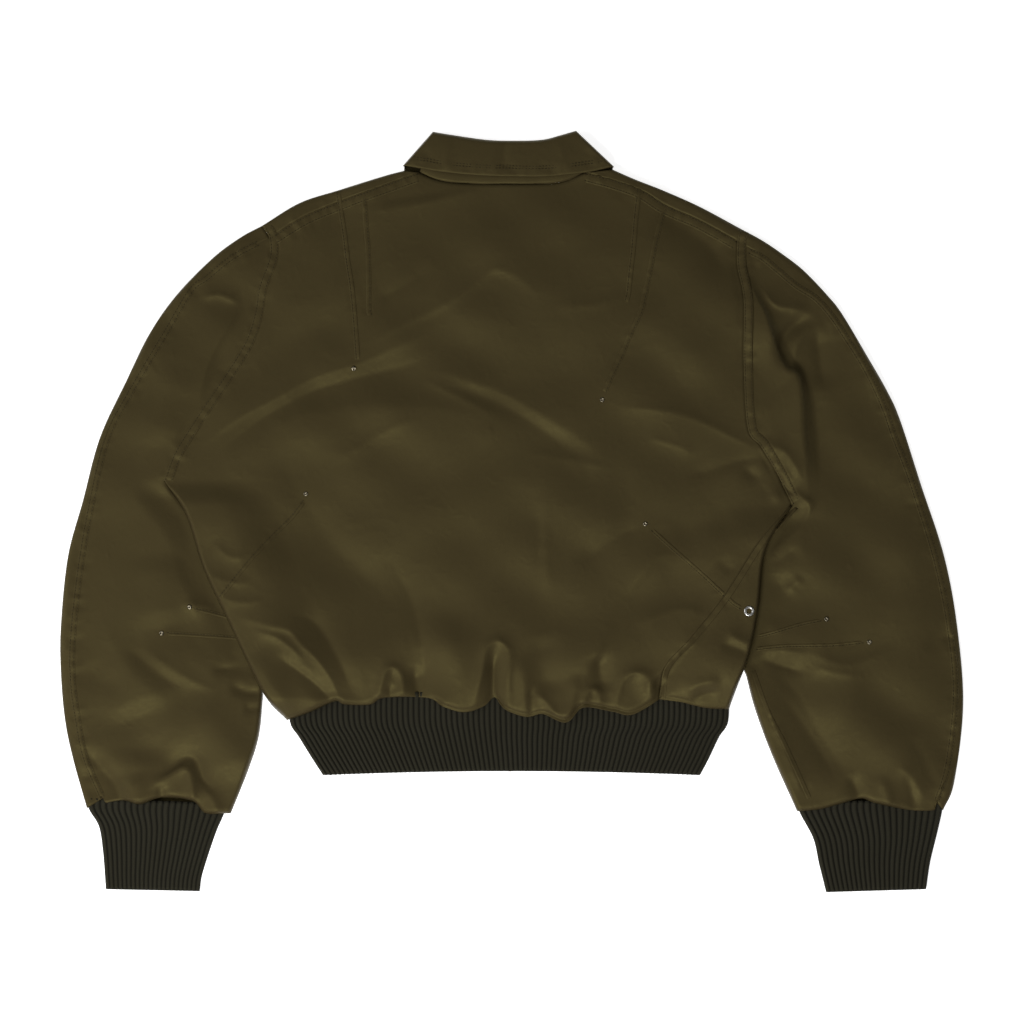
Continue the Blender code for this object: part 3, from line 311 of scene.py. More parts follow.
    ("right", ((448, -130), (430, -124), (412, -140)), -1.4, 6, 6, 1.2),
)

# Sewn lines: surface, points, width of the lap, offsets of its rows of stitches, height of the lap
SEAMS = (
    ("body", SHOULDER_SEAM_LEFT, 9.0, (-3.4, 3.4), 0.45, 4.5),
    ("body", SHOULDER_SEAM_RIGHT, 9.0, (-3.4, 3.4), 0.45, 4.5),
    ("over_left", ((-247, 284),) + ARMHOLE_LEFT, 8.0, (-3.0, 3.0), 0.5, -3.6),
    ("over_right", ((228, 281),) + ARMHOLE_RIGHT, 8.0, (-3.0, 3.0), 0.5, -3.6),
    ("left", SLEEVES["left"]["seam"], 6.0, (-2.0, 2.0), 0.4, 0.0),
    ("right", SLEEVES["right"]["seam"], 6.0, (-2.0, 2.0), 0.4, 0.0),
    ("body", ((-174, 320), (-171, 301), (-167, 275), (-164, 250), (-160, 224), (-157, 193), (-154, 150)),
     4.4, (-1.2,), 0.5, 0.0),
    ("body", ((-148, 318), (-146, 288), (-144, 263), (-143, 232), (-143, 205), (-141, 195)),
     4.4, (1.2,), 0.5, 0.0),
    ("body", ((127, 322), (125, 307), (123, 288), (121, 263), (118, 237), (116, 218), (113, 208)),
     4.4, (-1.2,), 0.5, 0.0),
    ("body", ((153, 304), (148, 288), (142, 263), (137, 237), (132, 214), (128, 199), (119, 180), (109, 156),
              (98, 133), (92, 118)), 4.4, (1.2,), 0.5, 0.0),
    ("body", ((-207, 12), (-219, -4), (-238, -23), (-257, -43), (-276, -66), (-292, -86)),
     3.6, (-1.0,), 0.45, 0.0),
    ("body", ((139, -17), (160, -36), (186, -59), (213, -84)), 3.6, (-1.0,), 0.45, 0.0),
    ("body", ((213, -84), (222, -92), (231, -97)), 3.6, (-1.0,), 0.45, 0.0),
    ("left", ((-320, -96), (-306, -99), (-290, -103), (-280, -106)), 3.2, (0.6,), 0.4, 0.0),
    ("left", ((-346, -121), (-310, -123), (-270, -126)), 3.2, (0.6,), 0.4, 0.0),
    ("right", ((310, -108), (290, -112), (266, -119), (244, -125)), 3.2, (0.6,), 0.4, 0.0),
    ("right", ((352, -130), (322, -133), (273, -134), (242, -137)), 3.2, (0.6,), 0.4, 0.0),
    ("body", SIDE_SEAM_RIGHT, 5.0, (), 0.5, -2.6),
    ("right", ((240, -156), (256, -200), (273, -233), (298, -288)), 4.0, (), 0.4, 0.0),
)

SHARED_SEAMS = 4        # so many of them lie on two pieces at once
LAPPED_SEAMS = 6        # so many are long laps; the rest are tucks and darts
LAPPED_PUCKERS = (7.0, 0.55, 17.0)      # pitch, height and length of the short creases across a seam
TUCK_PUCKERS = (11.0, 0.4, 12.0)

RIVETS = (
    ("rivet_back_1", "body"), ("rivet_back_2", "body"), ("rivet_back_3", "body"), ("rivet_back_4", "body"),
    ("rivet_sleeve_1", "left"), ("rivet_sleeve_2", "left"),
    ("rivet_sleeve_3", "right"), ("rivet_sleeve_4", "right"),
)


# ---------------------------------------------------------------- lines and patches

def curve(table, places):
    """A smooth line through the table's points, read at a number of even places or at the given shares."""
    points = np.array(table, float)
    padded = np.vstack([2 * points[0] - points[1], points, 2 * points[-1] - points[-2]])
    fine = []
    for k in range(len(points) - 1):
        a, b, c, d = padded[k:k + 4]
        for t in np.linspace(0, 1, 24, endpoint=False):
            fine.append(0.5 * (2 * b + (c - a) * t + (2 * a - 5 * b + 4 * c - d) * t * t
                               + (3 * b - a - 3 * c + d) * t ** 3))
    fine.append(points[-1])
    fine = np.array(fine)
    run = distances(fine)
    want = np.linspace(0, 1, places) if np.isscalar(places) else np.asarray(places)
    return np.column_stack([np.interp(want, run, fine[:, 0]), np.interp(want, run, fine[:, 1])])


def distances(line):
    """How far along a line each of its points lies, from 0 to 1."""
    run = run_length(line)
    return run / run[-1]


def run_length(line):
    return np.concatenate([[0], np.cumsum(np.linalg.norm(np.diff(line, axis=0), axis=1))])


def patch(top, bottom, left, right):
    """A grid of points that fills four lines; top and bottom run across, left and right run down."""
    u = distances(top)[None, :]
    v = distances(left)[:, None] * (1 - u) + distances(right)[:, None] * u
    u = u * (1 - v) + distances(bottom)[None, :] * v
    u = u[..., None]
    v = v[..., None]
    grid = (1 - v) * top[None] + v * bottom[None] + (1 - u) * left[:, None] + u * right[:, None]
    grid -= (1 - u) * (1 - v) * top[0] + u * (1 - v) * top[-1] + (1 - u) * v * bottom[0] + u * v * bottom[-1]
    return grid


def smooth(value):
    value = np.clip(value, 0, 1)
    return value * value * (3 - 2 * value)


def away(places, line):
    """Distance from each place to the nearest point of a line."""
    flat = places.reshape(-1, 2)
    best = np.full(len(flat), 1e9)
    for a, b in zip(line[:-1], line[1:]):
        way = b - a
        size = max(way @ way, 1e-9)
        t = np.clip((flat - a) @ way / size, 0, 1)
        gap = flat - a - t[:, None] * way
        best = np.minimum(best, np.einsum("ij,ij->i", gap, gap))
    return np.sqrt(best).reshape(places.shape[:-1])


def normals_of(line):
    """Unit normals on the left of someone who walks along the line."""
    way = np.gradient(line, axis=0)
    way /= np.linalg.norm(way, axis=1)[:, None]
    return np.column_stack([-way[:, 1], way[:, 0]])


def crowd(count, first, last):
    """Shares from 0 to 1 that lie closer together at the ends that are asked for."""
    t = np.linspace(0, 1, count)
    if first and last:
        return (1 - np.cos(math.pi * t)) / 2 * 0.6 + t * 0.4
    if first:
        return (1 - np.cos(math.pi / 2 * t)) * 0.7 + t * 0.3
    if last:
        return np.sin(math.pi / 2 * t) * 0.7 + t * 0.3
    return t


# ---------------------------------------------------------------- the height of the cloth

def fold_height(places, folds):
    """The sum of the folds at each place."""
    flat = places.reshape(-1, 2)
    total = np.zeros(len(flat))
    for points, height, left, right, shape in folds:
        reach = 2.6 * max(left, right) if shape > 1.6 else 4.0 * max(left, right)
        low = np.min(points, axis=0) - reach
        high = np.max(points, axis=0) + reach
        near = np.nonzero(np.all((flat > low) & (flat < high), axis=1))[0]
        if not len(near):
            continue
        length = run_length(np.array(points, float))[-1]
        line = curve(points, max(6, int(length / 3)))
        normal = normals_of(line)
        here = flat[near]
        gap = here[:, None, :] - line[None]
        index = np.argmin(np.einsum("ijk,ijk->ij", gap, gap), axis=1)
        off = gap[np.arange(len(near)), index]
        side = np.einsum("ij,ij->i", off, normal[index])
        ahead = off[:, 0] * normal[index, 1] - off[:, 1] * normal[index, 0]
        t = np.clip(index / (len(line) - 1) + ahead / length, 0, 1)
        width = np.where(side > 0, left, right)
        taper = smooth(t / 0.3) * smooth((1 - t) / 0.3)
        total[near] += height * taper * np.exp(-(np.abs(side) / width) ** shape)
    return total.reshape(places.shape[:-1])


def puckers(line, pitch, height, length, seed):
    """Short creases across a seam, uneven in place, length and depth."""
    rng = random.Random(seed)
    run = run_length(line)
    normal = normals_of(line)
    made = []
    at = rng.uniform(0, pitch)
    while at < run[-1]:
        k = int(np.searchsorted(run, at))
        tilt = rng.uniform(-0.5, 0.5)
        way = normal[k] * math.cos(tilt) + np.array((-normal[k][1], normal[k][0])) * math.sin(tilt)
        middle = line[k] + way * rng.uniform(-0.25, 0.25) * length
        half = way * length * rng.uniform(0.3, 0.75)
        points = (middle - half, middle - half * 0.2, middle + half)
        wide = rng.uniform(2.2, 4.0)
        made.append((points, height * rng.choice((1, 1, -1)) * rng.uniform(0.4, 1.3), wide, wide, 2.0))
        at += pitch * rng.uniform(0.55, 1.5)
    return made


def seam_line(row):
    """The middle of a seam's lap."""
    points, shift = row[1], row[5]
    length = run_length(np.array(points, float))[-1]
    line = curve(points, max(4, int(length / 1.5)))
    return line - normals_of(line) * shift


def collect_folds(strength, evenness):
    """All folds and puckers: those that cross the armholes, and those of the body and of each sleeve."""
    found = {"all": [], "body": [], "left": [], "right": []}
    for where, points, height, left, right, shape in FOLDS:
        tall = math.copysign(abs(height) ** evenness, height) * strength
        found[where].append((points, tall, left, right, shape))
    for number, row in enumerate(SEAMS):
        creases = LAPPED_PUCKERS if number < LAPPED_SEAMS else TUCK_PUCKERS
        found["all" if number < SHARED_SEAMS else row[0]] += puckers(seam_line(row), *creases, number)
    return found


def waves(places, seed, size, height):
    """Soft unevenness of laid cloth, as a sum of a few long waves."""
    rng = random.Random(seed)
    total = np.zeros(places.shape[:-1])
    for _ in range(WAVES):
        turn = rng.uniform(0, math.tau)
        long = size * rng.uniform(0.6, 1.6)
        phase = rng.uniform(0, math.tau)
        along = places[..., 0] * math.cos(turn) + places[..., 1] * math.sin(turn)
        total += np.sin(along / long * math.tau + phase) * rng.uniform(0.5, 1.0)
    return total * height / 3


def over_sleeve(gap, along, side, below, above):
    """From 0 to 1, how far the body lies over a sleeve: most beside its side line, and less at its ends."""
    armpit, hem = side[0][1], side[-1][1]
    return smooth((armpit - along) / below) * smooth((along - hem) / above) * smooth((95 - gap) / 55)


def lift(across, along):
    """How far the body is raised: over the sleeves at its sides, and over the collar leaf at its neck."""
    left = np.array(SIDE_LEFT, float)[::-1]
    right = np.array(SIDE_RIGHT, float)[::-1]
    from_left = across - np.interp(along, left[:, 1], left[:, 0])
    from_right = np.interp(along, right[:, 1], right[:, 0]) - across
    over = np.maximum(over_sleeve(from_left, along, SIDE_LEFT, 24, 24),
                      over_sleeve(from_right, along, SIDE_RIGHT, 36, 30))
    reach = np.hypot((across + 3) / 128, (along - 345) / 132)
    return SLEEVE_LIFT * over + COLLAR_LIFT * smooth((1.5 - reach) / 0.4)


def rounded(gap, radius):
    """0 at a free edge and 1 a radius away from it, as a quarter circle."""
    t = np.clip(gap / radius, 0, 1)
    return np.sqrt(np.clip(1 - (1 - t) ** 2, 0, 1))


class Surface:
    """The upper side of the laid jacket: the height of the body's or a sleeve's cloth at any place."""

    def __init__(self, strength, evenness):
        self.folds = collect_folds(strength, evenness)
        self.armholes = (curve(ARMHOLE_LEFT, 40), curve(ARMHOLE_RIGHT, 40))
        self.rim = np.vstack([curve(SLEEVES["left"]["outer"][::-1], 60), curve(SHOULDER_EDGE_LEFT, 20),
                              curve(SHOULDER_EDGE_RIGHT, 20), curve(SLEEVES["right"]["outer"], 60)])
        self.hem = np.vstack([curve(HEM_BACK, 160), curve(HEM_SIDE, 30)])
        self.sides = (curve(SIDE_LEFT, 40), curve(SIDE_RIGHT, 40))
        self.tucked = {"left": self.inner_line("left"), "right": self.inner_line("right")}
        self.cuffs = {side: curve(SLEEVES[side]["cuff"], 60) for side in SLEEVES}

    def inner_line(self, side):
        """A sleeve's inner edge below the armpit, first under the body's side and then free."""
        shape = SLEEVES[side]
        body_side = curve(SIDE_LEFT if side == "left" else SIDE_RIGHT, 30)
        last = shape["inner"][0][1] + 14
        hidden = body_side[body_side[:, 1] > last]
        share = smooth(np.linspace(0, 1, len(hidden)) * 3)
        hidden = hidden + np.column_stack([share * shape["tucked"], np.zeros(len(hidden))])
        return np.vstack([hidden, curve(shape["inner"], 24)])

    def swell(self, places, where):
        """The cloth lies fuller away from the outer edge, and the folds lie on it."""
        high = FULLNESS * smooth(away(places, self.rim) / FULLNESS_REACH)
        high += waves(places, 3, WAVE_LENGTH, WAVE_HEIGHT)
        from_armhole = np.minimum(away(places, self.armholes[0]), away(places, self.armholes[1]))
        own = fold_height(places, self.folds[where]) * smooth(from_armhole / ARMHOLE_CALM)
        return high + own + fold_height(places, self.folds["all"])

    def body(self, places):
        across, along = places[..., 0], places[..., 1]
        raised = lift(across, along)
        high = LAID_HEIGHT + raised + self.swell(places, "body")
        from_hem = away(places, self.hem)
        high += HEM_SWELL * np.exp(-((from_hem - HEM_SWELL_FROM) / HEM_SWELL_REACH) ** 2)
        high = np.maximum(high, raised + LEAST_HEIGHT)
        high = -np.logaddexp(-high, -HIGHEST)
        below = smooth((28 - along) / 22)
        side_gap = np.minimum(away(places, self.sides[0]), away(places, self.sides[1]))
        low = raised + 1.2
        high = low + (high - low) * (1 - below * (1 - rounded(side_gap, SIDE_ROLL)))
        level = LAID_HEIGHT + 0.4
        at_hem = rounded(from_hem, RIB_ROLL)
        return np.where(high > level, level + (high - level) * at_hem, high)

    def sleeve(self, places, side):
        along = places[..., 1]
        inner = away(places, self.tucked[side])
        start = self.tucked[side][0][1]
        below = smooth((start + 6 - along) / 26)
        high = self.swell(places, side)
        free = smooth((-150 - along) / 30)
        covered = below * (1 - free)
        high *= 1 - covered * (1 - smooth((inner - 9) / 26))
        high = np.maximum(LAID_HEIGHT + high, LEAST_HEIGHT)
        low = 3.4
        high = low + (high - low) * (1 - below * (1 - rounded(inner, SLEEVE_ROLL)))
        level = LAID_HEIGHT + 0.1
        at_cuff = rounded(away(places, self.cuffs[side]), RIB_ROLL)
        return np.where(high > level, level + (high - level) * at_cuff, high)

    def height(self, places, where):
        if where in SLEEVES:
            return self.sleeve(places, where)
        if where == "body":
            return self.body(places)
        return np.maximum(self.body(places), self.sleeve(places, where.split("_")[1]))


# ---------------------------------------------------------------- meshes

def grid_mesh(name, points, up=True, ring=False, groove=None):
    """Cloth through a grid of points in millimetres, its outer face up or down, with a UV map in metres."""
    rows, columns = points.shape[:2]
    bm = bmesh.new()
    bmesh.ops.create_grid(bm, x_segments=columns - 1, y_segments=rows - 1, size=1.0)
    mesh = mesh_from(bm, name)
    place = np.empty(len(mesh.vertices) * 3)
    mesh.vertices.foreach_get("co", place)
    place = place.reshape(-1, 3)
    column = np.rint((place[:, 0] + 1) / 2 * (columns - 1)).astype(int)
    row = np.rint((1 - place[:, 1]) / 2 * (rows - 1)).astype(int)
    mesh.vertices.foreach_set("co", (points[row, column] * MM).ravel())
    wide = run_length(points[rows // 2])[-1] * MM
    long = run_length(points[:, columns // 2])[-1] * MM
    corner = np.empty(len(mesh.loops), dtype=int)
    mesh.loops.foreach_get("vertex_index", corner)
    uv = np.column_stack([column[corner] / (columns - 1) * wide, row[corner] / (rows - 1) * long])
    layer = mesh.uv_layers.new(name="cloth")
    layer.uv.foreach_set("vector", uv.ravel())
    # the groove attribute carries the mask of the grooves between ribs, where the knit's material paints
    # shade
    if groove is not None:
        mesh.attributes.new("groove", "FLOAT", "POINT").data.foreach_set("value", groove[row, column])
    mesh.update()
    step_across = points[:-1, 1:, :] - points[:-1, :-1, :]
    step_down = points[1:, :-1, :] - points[:-1, :-1, :]
    facing = np.cross(step_down, step_across)[..., 2]
    heights = points[:-1, :-1, 2]
    upper = heights >= np.percentile(heights, 80) if up else heights <= np.percentile(heights, 20)
    faces_up = facing[upper].sum() > 0
    if faces_up != up:
        mesh.flip_normals()
    if ring:
        bm = bmesh.new()
        bm.from_mesh(mesh)
        bmesh.ops.remove_doubles(bm, verts=bm.verts[:], dist=1e-6)
        bm.to_mesh(mesh)
        bm.free()
    return mesh


def mesh_from(bm, name):
    mesh = bpy.data.meshes.new(name)
    bm.to_mesh(mesh)
    bm.free()
    return mesh


def add_piece(mesh, finish_name, node=None, thickness=0.0):
    """Puts a mesh into the scene under its own name, with its finish and its wall, under the jacket's empty,
    and hides the CAD node that it stands for.
    """
    mesh.shade_smooth()
    mesh.materials.append(finish(finish_name))
    made = bpy.data.objects.new(mesh.name, mesh)
    bpy.context.scene.collection.objects.link(made)
    if thickness:
        wall = made.modifiers.new("wall", "SOLIDIFY")
        wall.thickness = thickness * MM
        wall.offset = -1.0
    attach(made, "jacket")
    if node:
        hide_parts(node)
    return made


def join_meshes(name, meshes, weld=0.0):
    """One mesh out of several, welded where they meet."""
    bm = bmesh.new()
    for mesh in meshes:
        bm.from_mesh(mesh)
        bpy.data.meshes.remove(mesh)
    if weld:
        bmesh.ops.remove_doubles(bm, verts=bm.verts[:], dist=weld)
    return mesh_from(bm, name)


# ---------------------------------------------------------------- materials

def made_once(name):
    """Makes a function's shader group on its first call, and hands out the same one afterwards."""
    def wrap(make):
        return lambda: bpy.data.node_groups.get(name) or make(name)
    return wrap


def new_group(name, inputs, outputs):
    """An empty shader group with named inputs and outputs."""
    group = bpy.data.node_groups.new(name, "ShaderNodeTree")
    for label, kind, value in inputs:
        socket = group.interface.new_socket(name=label, in_out="INPUT", socket_type=kind)
        if value is not None:
            socket.default_value = value
    for label, kind in outputs:
        group.interface.new_socket(name=label, in_out="OUTPUT", socket_type=kind)
    return group, group.nodes.new("NodeGroupInput"), group.nodes.new("NodeGroupOutput")


def math_node(tree, operation, first, second=None):
    node = tree.nodes.new("ShaderNodeMath")
    node.operation = operation
    for socket, value in zip(node.inputs, (first, second)):
        if value is None:
            continue
        if isinstance(value, (int, float)):
            socket.default_value = value
        else:
            tree.links.new(value, socket)
    return node.outputs[0]


@made_once("woven_threads")
def weave_group(name):
    """Crossed threads: a height for the bump and a tone for the colour."""
    group, given, out = new_group(
        name,
        (("Vector", "NodeSocketVector", None), ("Warp per metre", "NodeSocketFloat", 1500.0),
         ("Weft per metre", "NodeSocketFloat", 1100.0)),
        (("Height", "NodeSocketFloat"), ("Tone", "NodeSocketFloat")))
    links = group.links
    split = group.nodes.new("ShaderNodeSeparateXYZ")
    links.new(given.outputs["Vector"], split.inputs[0])
    warp = math_node(group, "MULTIPLY", split.outputs["X"], given.outputs["Warp per metre"])
    weft = math_node(group, "MULTIPLY", split.outputs["Y"], given.outputs["Weft per metre"])
    twill = math_node(group, "ADD", warp, weft)
    threads = math_node(group, "SINE", math_node(group, "MULTIPLY", twill, math.tau))
    crossing = math_node(group, "SINE", math_node(group, "MULTIPLY", weft, math.tau))
    height = math_node(group, "ADD", math_node(group, "MULTIPLY", threads, 0.35),
                       math_node(group, "MULTIPLY", crossing, 0.15))
    links.new(math_node(group, "ADD", height, 0.5), out.inputs["Height"])
    slub = group.nodes.new("ShaderNodeTexNoise")
    slub.inputs["Scale"].default_value = 420.0
    slub.inputs["Detail"].default_value = 3.0
    links.new(given.outputs["Vector"], slub.inputs["Vector"])
    links.new(slub.outputs["Fac"], out.inputs["Tone"])
    return group


@made_once("faint_crumple")
def crinkle_group(name):
    """The faint crumple of thin cloth that has been handled: broken creases of two sizes."""
    group, given, out = new_group(
        name,
        (("Vector", "NodeSocketVector", None), ("Large per metre", "NodeSocketFloat", 34.0),
         ("Small per metre", "NodeSocketFloat", 105.0), ("Small share", "NodeSocketFloat", 0.35)),
        (("Height", "NodeSocketFloat"),))
    parts = []
    for label in ("Large per metre", "Small per metre"):
        noise = group.nodes.new("ShaderNodeTexNoise")
        noise.noise_type = "RIDGED_MULTIFRACTAL"
        noise.inputs["Detail"].default_value = 2.5
        noise.inputs["Distortion"].default_value = 0.4
        group.links.new(given.outputs["Vector"], noise.inputs["Vector"])
        group.links.new(given.outputs[label], noise.inputs["Scale"])
        parts.append(noise.outputs["Fac"])
    small = math_node(group, "MULTIPLY", parts[1], given.outputs["Small share"])
    group.links.new(math_node(group, "ADD", parts[0], small), out.inputs["Height"])
    return group


@made_once("uneven_tone")
def tone_group(name):
    """Uneven dye and handling: a slow mask and a fine one, both from 0 to 1."""
    group, given, out = new_group(
        name,
        (("Vector", "NodeSocketVector", None), ("Patches per metre", "NodeSocketFloat", 9.0),
         ("Specks per metre", "NodeSocketFloat", 260.0)),
        (("Patches", "NodeSocketFloat"), ("Specks", "NodeSocketFloat")))
    for label, scale, detail in (("Patches", "Patches per metre", 2.0), ("Specks", "Specks per metre", 4.0)):
        noise = group.nodes.new("ShaderNodeTexNoise")
        noise.inputs["Detail"].default_value = detail
        group.links.new(given.outputs["Vector"], noise.inputs["Vector"])
        group.links.new(given.outputs[scale], noise.inputs["Scale"])
        ramp = group.nodes.new("ShaderNodeMapRange")
        ramp.inputs["From Min"].default_value = 0.3
        ramp.inputs["From Max"].default_value = 0.7
        group.links.new(noise.outputs["Fac"], ramp.inputs["Value"])
        group.links.new(ramp.outputs["Result"], out.inputs[label])
    return group


def shade(colour, by):
    return tuple(min(1.0, c * by) for c in colour[:3]) + (1.0,)


def own_place(tree):
    return tree.nodes.new("ShaderNodeTexCoord").outputs["Object"]


def add_group(tree, group, vector, **values):
    node = tree.nodes.new("ShaderNodeGroup")
    node.node_tree = group
    tree.links.new(vector, node.inputs["Vector"])
    for label, value in values.items():
        node.inputs[label.replace("_", " ")].default_value = value
    return node


def mix_colours(tree, factor, dark, light):
    mix = tree.nodes.new("ShaderNodeMix")
    mix.data_type = "RGBA"
    tree.links.new(factor, mix.inputs["Factor"])
    for socket, value in ((mix.inputs["A"], dark), (mix.inputs["B"], light)):
        if isinstance(value, tuple):
            socket.default_value = value
        else:
            tree.links.new(value, socket)
    return mix.outputs["Result"]


def bump(tree, shader, height, distance, strength=1.0):
    node = tree.nodes.new("ShaderNodeBump")
    node.inputs["Distance"].default_value = distance
    node.inputs["Strength"].default_value = strength
    tree.links.new(height, node.inputs["Height"])
    tree.links.new(node.outputs["Normal"], shader.inputs["Normal"])
    return node


def spread(tree, value, low, high):
    node = tree.nodes.new("ShaderNodeMapRange")
    node.inputs["To Min"].default_value = low
    node.inputs["To Max"].default_value = high
    tree.links.new(value, node.inputs["Value"])
    return node.outputs["Result"]


def fill_nylon(tree, shader, colour):
    """Satin nylon: fine diagonal threads, a soft sheen and slow changes of tone."""
    place = own_place(tree)
    weave = add_group(tree, weave_group(), place, Warp_per_metre=1500.0, Weft_per_metre=1100.0)
    tone = add_group(tree, tone_group(), place, Patches_per_metre=7.0, Specks_per_metre=300.0)
    slow = mix_colours(tree, tone.outputs["Patches"], shade(colour, 0.93), shade(colour, 1.07))
    fine = mix_colours(tree, weave.outputs["Tone"], shade(colour, 0.9), slow)
    tree.links.new(fine, shader.inputs["Base Color"])
    tree.links.new(spread(tree, tone.outputs["Specks"], 0.46, 0.56), shader.inputs["Roughness"])
    shader.inputs["Specular IOR Level"].default_value = 0.22
    shader.inputs["Specular Tint"].default_value = (1.0, 0.87, 0.3, 1.0)
    crinkle = add_group(tree, crinkle_group(), place)
    height = math_node(tree, "ADD", math_node(tree, "MULTIPLY", weave.outputs["Height"], 0.05),
                       crinkle.outputs["Height"])
    bump(tree, shader, height, 0.0006, 1.0)


def fill_knit(tree, shader, colour):
    """Ribbed knit: rows of small stitches along each rib, darker where the stitches dip and much darker in
    the grooves between ribs; both darkenings are painted shade.
    """
    coords = tree.nodes.new("ShaderNodeUVMap")
    coords.uv_map = "cloth"
    weave = add_group(tree, weave_group(), coords.outputs["UV"], Warp_per_metre=380.0, Weft_per_metre=620.0)
    tone = add_group(tree, tone_group(), coords.outputs["UV"], Patches_per_metre=14.0, Specks_per_metre=900.0)
    # painted shade: the groove attribute is 1 in the grooves between ribs, and there the colour is mixed down
    # to 0.22 of the knit's colour
    groove = tree.nodes.new("ShaderNodeAttribute")
    groove.attribute_name = "groove"
    slow = mix_colours(tree, tone.outputs["Specks"], shade(colour, 0.78), shade(colour, 1.4))
    # painted shade: the knit's colour goes down to 0.85 where the stitches' height dips
    knit = mix_colours(tree, weave.outputs["Height"], shade(colour, 0.85), slow)
    # painted shade in the grooves between ribs, by the groove attribute
    tree.links.new(mix_colours(tree, groove.outputs["Fac"], knit, shade(colour, 0.22)),
                   shader.inputs["Base Color"])
    tree.links.new(spread(tree, tone.outputs["Patches"], 0.82, 0.92), shader.inputs["Roughness"])
    shader.inputs["Specular IOR Level"].default_value = 0.15
    bump(tree, shader, weave.outputs["Height"], 0.00025, 0.8)


def fill_tape(tree, shader, colour):
    """Zip tape and teeth: a coarse plain weave."""
    place = own_place(tree)
    weave = add_group(tree, weave_group(), place, Warp_per_metre=900.0, Weft_per_metre=900.0)
    tone = add_group(tree, tone_group(), place, Patches_per_metre=12.0, Specks_per_metre=400.0)
    tree.links.new(mix_colours(tree, weave.outputs["Tone"], shade(colour, 0.75), shade(colour, 1.2)),
                   shader.inputs["Base Color"])
    tree.links.new(spread(tree, tone.outputs["Patches"], 0.6, 0.75), shader.inputs["Roughness"])
    bump(tree, shader, weave.outputs["Height"], 0.00008, 0.7)


def fill_steel(tree, shader, colour):
    """Plain nickel-coloured metal with faint rub marks."""
    place = own_place(tree)
    tone = add_group(tree, tone_group(), place, Patches_per_metre=300.0, Specks_per_metre=1800.0)
    tree.links.new(mix_colours(tree, tone.outputs["Patches"], shade(colour, 0.7), shade(colour, 1.1)),
                   shader.inputs["Base Color"])
    tree.links.new(spread(tree, tone.outputs["Specks"], 0.22, 0.42), shader.inputs["Roughness"])
    shader.inputs["Metallic"].default_value = 1.0


def fill_thread(tree, shader, colour):
    """Sewing thread, twisted and a little glossy."""
    place = own_place(tree)
    tone = add_group(tree, tone_group(), place, Patches_per_metre=40.0, Specks_per_metre=1500.0)
    tree.links.new(mix_colours(tree, tone.outputs["Specks"], shade(colour, 0.8), shade(colour, 1.15)),
                   shader.inputs["Base Color"])
    shader.inputs["Roughness"].default_value = 0.75
    shader.inputs["Specular IOR Level"].default_value = 0.15


def fill_floor(tree, shader, colour):
    """A pale studio ground that glows a little, so that it stays white around the cloth."""
    place = own_place(tree)
    tone = add_group(tree, tone_group(), place, Patches_per_metre=2.0, Specks_per_metre=500.0)
    tree.links.new(mix_colours(tree, tone.outputs["Patches"], shade(colour, 0.995), shade(colour, 1.0)),
                   shader.inputs["Base Color"])
    shader.inputs["Roughness"].default_value = 0.9
    shader.inputs["Emission Color"].default_value = (1.0, 1.0, 1.0, 1.0)
    shader.inputs["Emission Strength"].default_value = 0.75


FINISHES = {
    # name of the material: what fills it, and its colour among the settings
    "satin_nylon": (fill_nylon, "nylon"),
    "ribbed_knit": (fill_knit, "rib"),
    "zip_tape": (fill_tape, "tape"),
    "nickel_steel": (fill_steel, "steel"),
    "rivet_steel": (fill_steel, "rivet"),
    "sewing_thread": (fill_thread, "thread"),
    "pale_floor": (fill_floor, "floor"),
}


def finish(name):
    """The material of that name, made when it is first asked for."""
    material = bpy.data.materials.get(name)
    if not material:
        fill, colour = FINISHES[name]
        material = bpy.data.materials.new(name)
        material.use_nodes = True
        tree = material.node_tree
        fill(tree, tree.nodes["Principled BSDF"], getattr(colours(), colour))
    return material


# ---------------------------------------------------------------- settings

class JacketSizes(bpy.types.PropertyGroup):
    """Sizes of the cloth and its sewing."""
    fold_strength: FloatProperty(name="Fold strength", description="Height of the folds", default=1.55,
                                 subtype="FACTOR", min=0.0, max=4.0)
    fold_evenness: FloatProperty(name="Fold evenness", description="Below 1, small folds gain on large ones",
                                 default=0.62, subtype="FACTOR", min=0.1, max=1.0)
    rib_pitch: FloatProperty(name="Rib pitch", description="Width of one rib of the knit", default=0.0053,
                             unit="LENGTH", min=0.001)
    rib_depth: FloatProperty(name="Rib depth", description="Depth of the groove between two ribs",
                             default=0.0020, unit="LENGTH", min=0.0)
    stitch_length: FloatProperty(name="Stitch length", description="Length of one stitch that shows",
                                 default=0.0024, unit="LENGTH", min=0.0005)
    stitch_gap: FloatProperty(name="Stitch gap", description="Gap between two stitches", default=0.0009,
                              unit="LENGTH", min=0.0001)
    thread: FloatProperty(name="Thread", description="Thickness of the thread", default=0.00055,
                          unit="LENGTH", min=0.0001)
    tooth_pitch: FloatProperty(name="Tooth pitch", description="Distance between two teeth of the zip",
                               default=0.0026, unit="LENGTH", min=0.001)


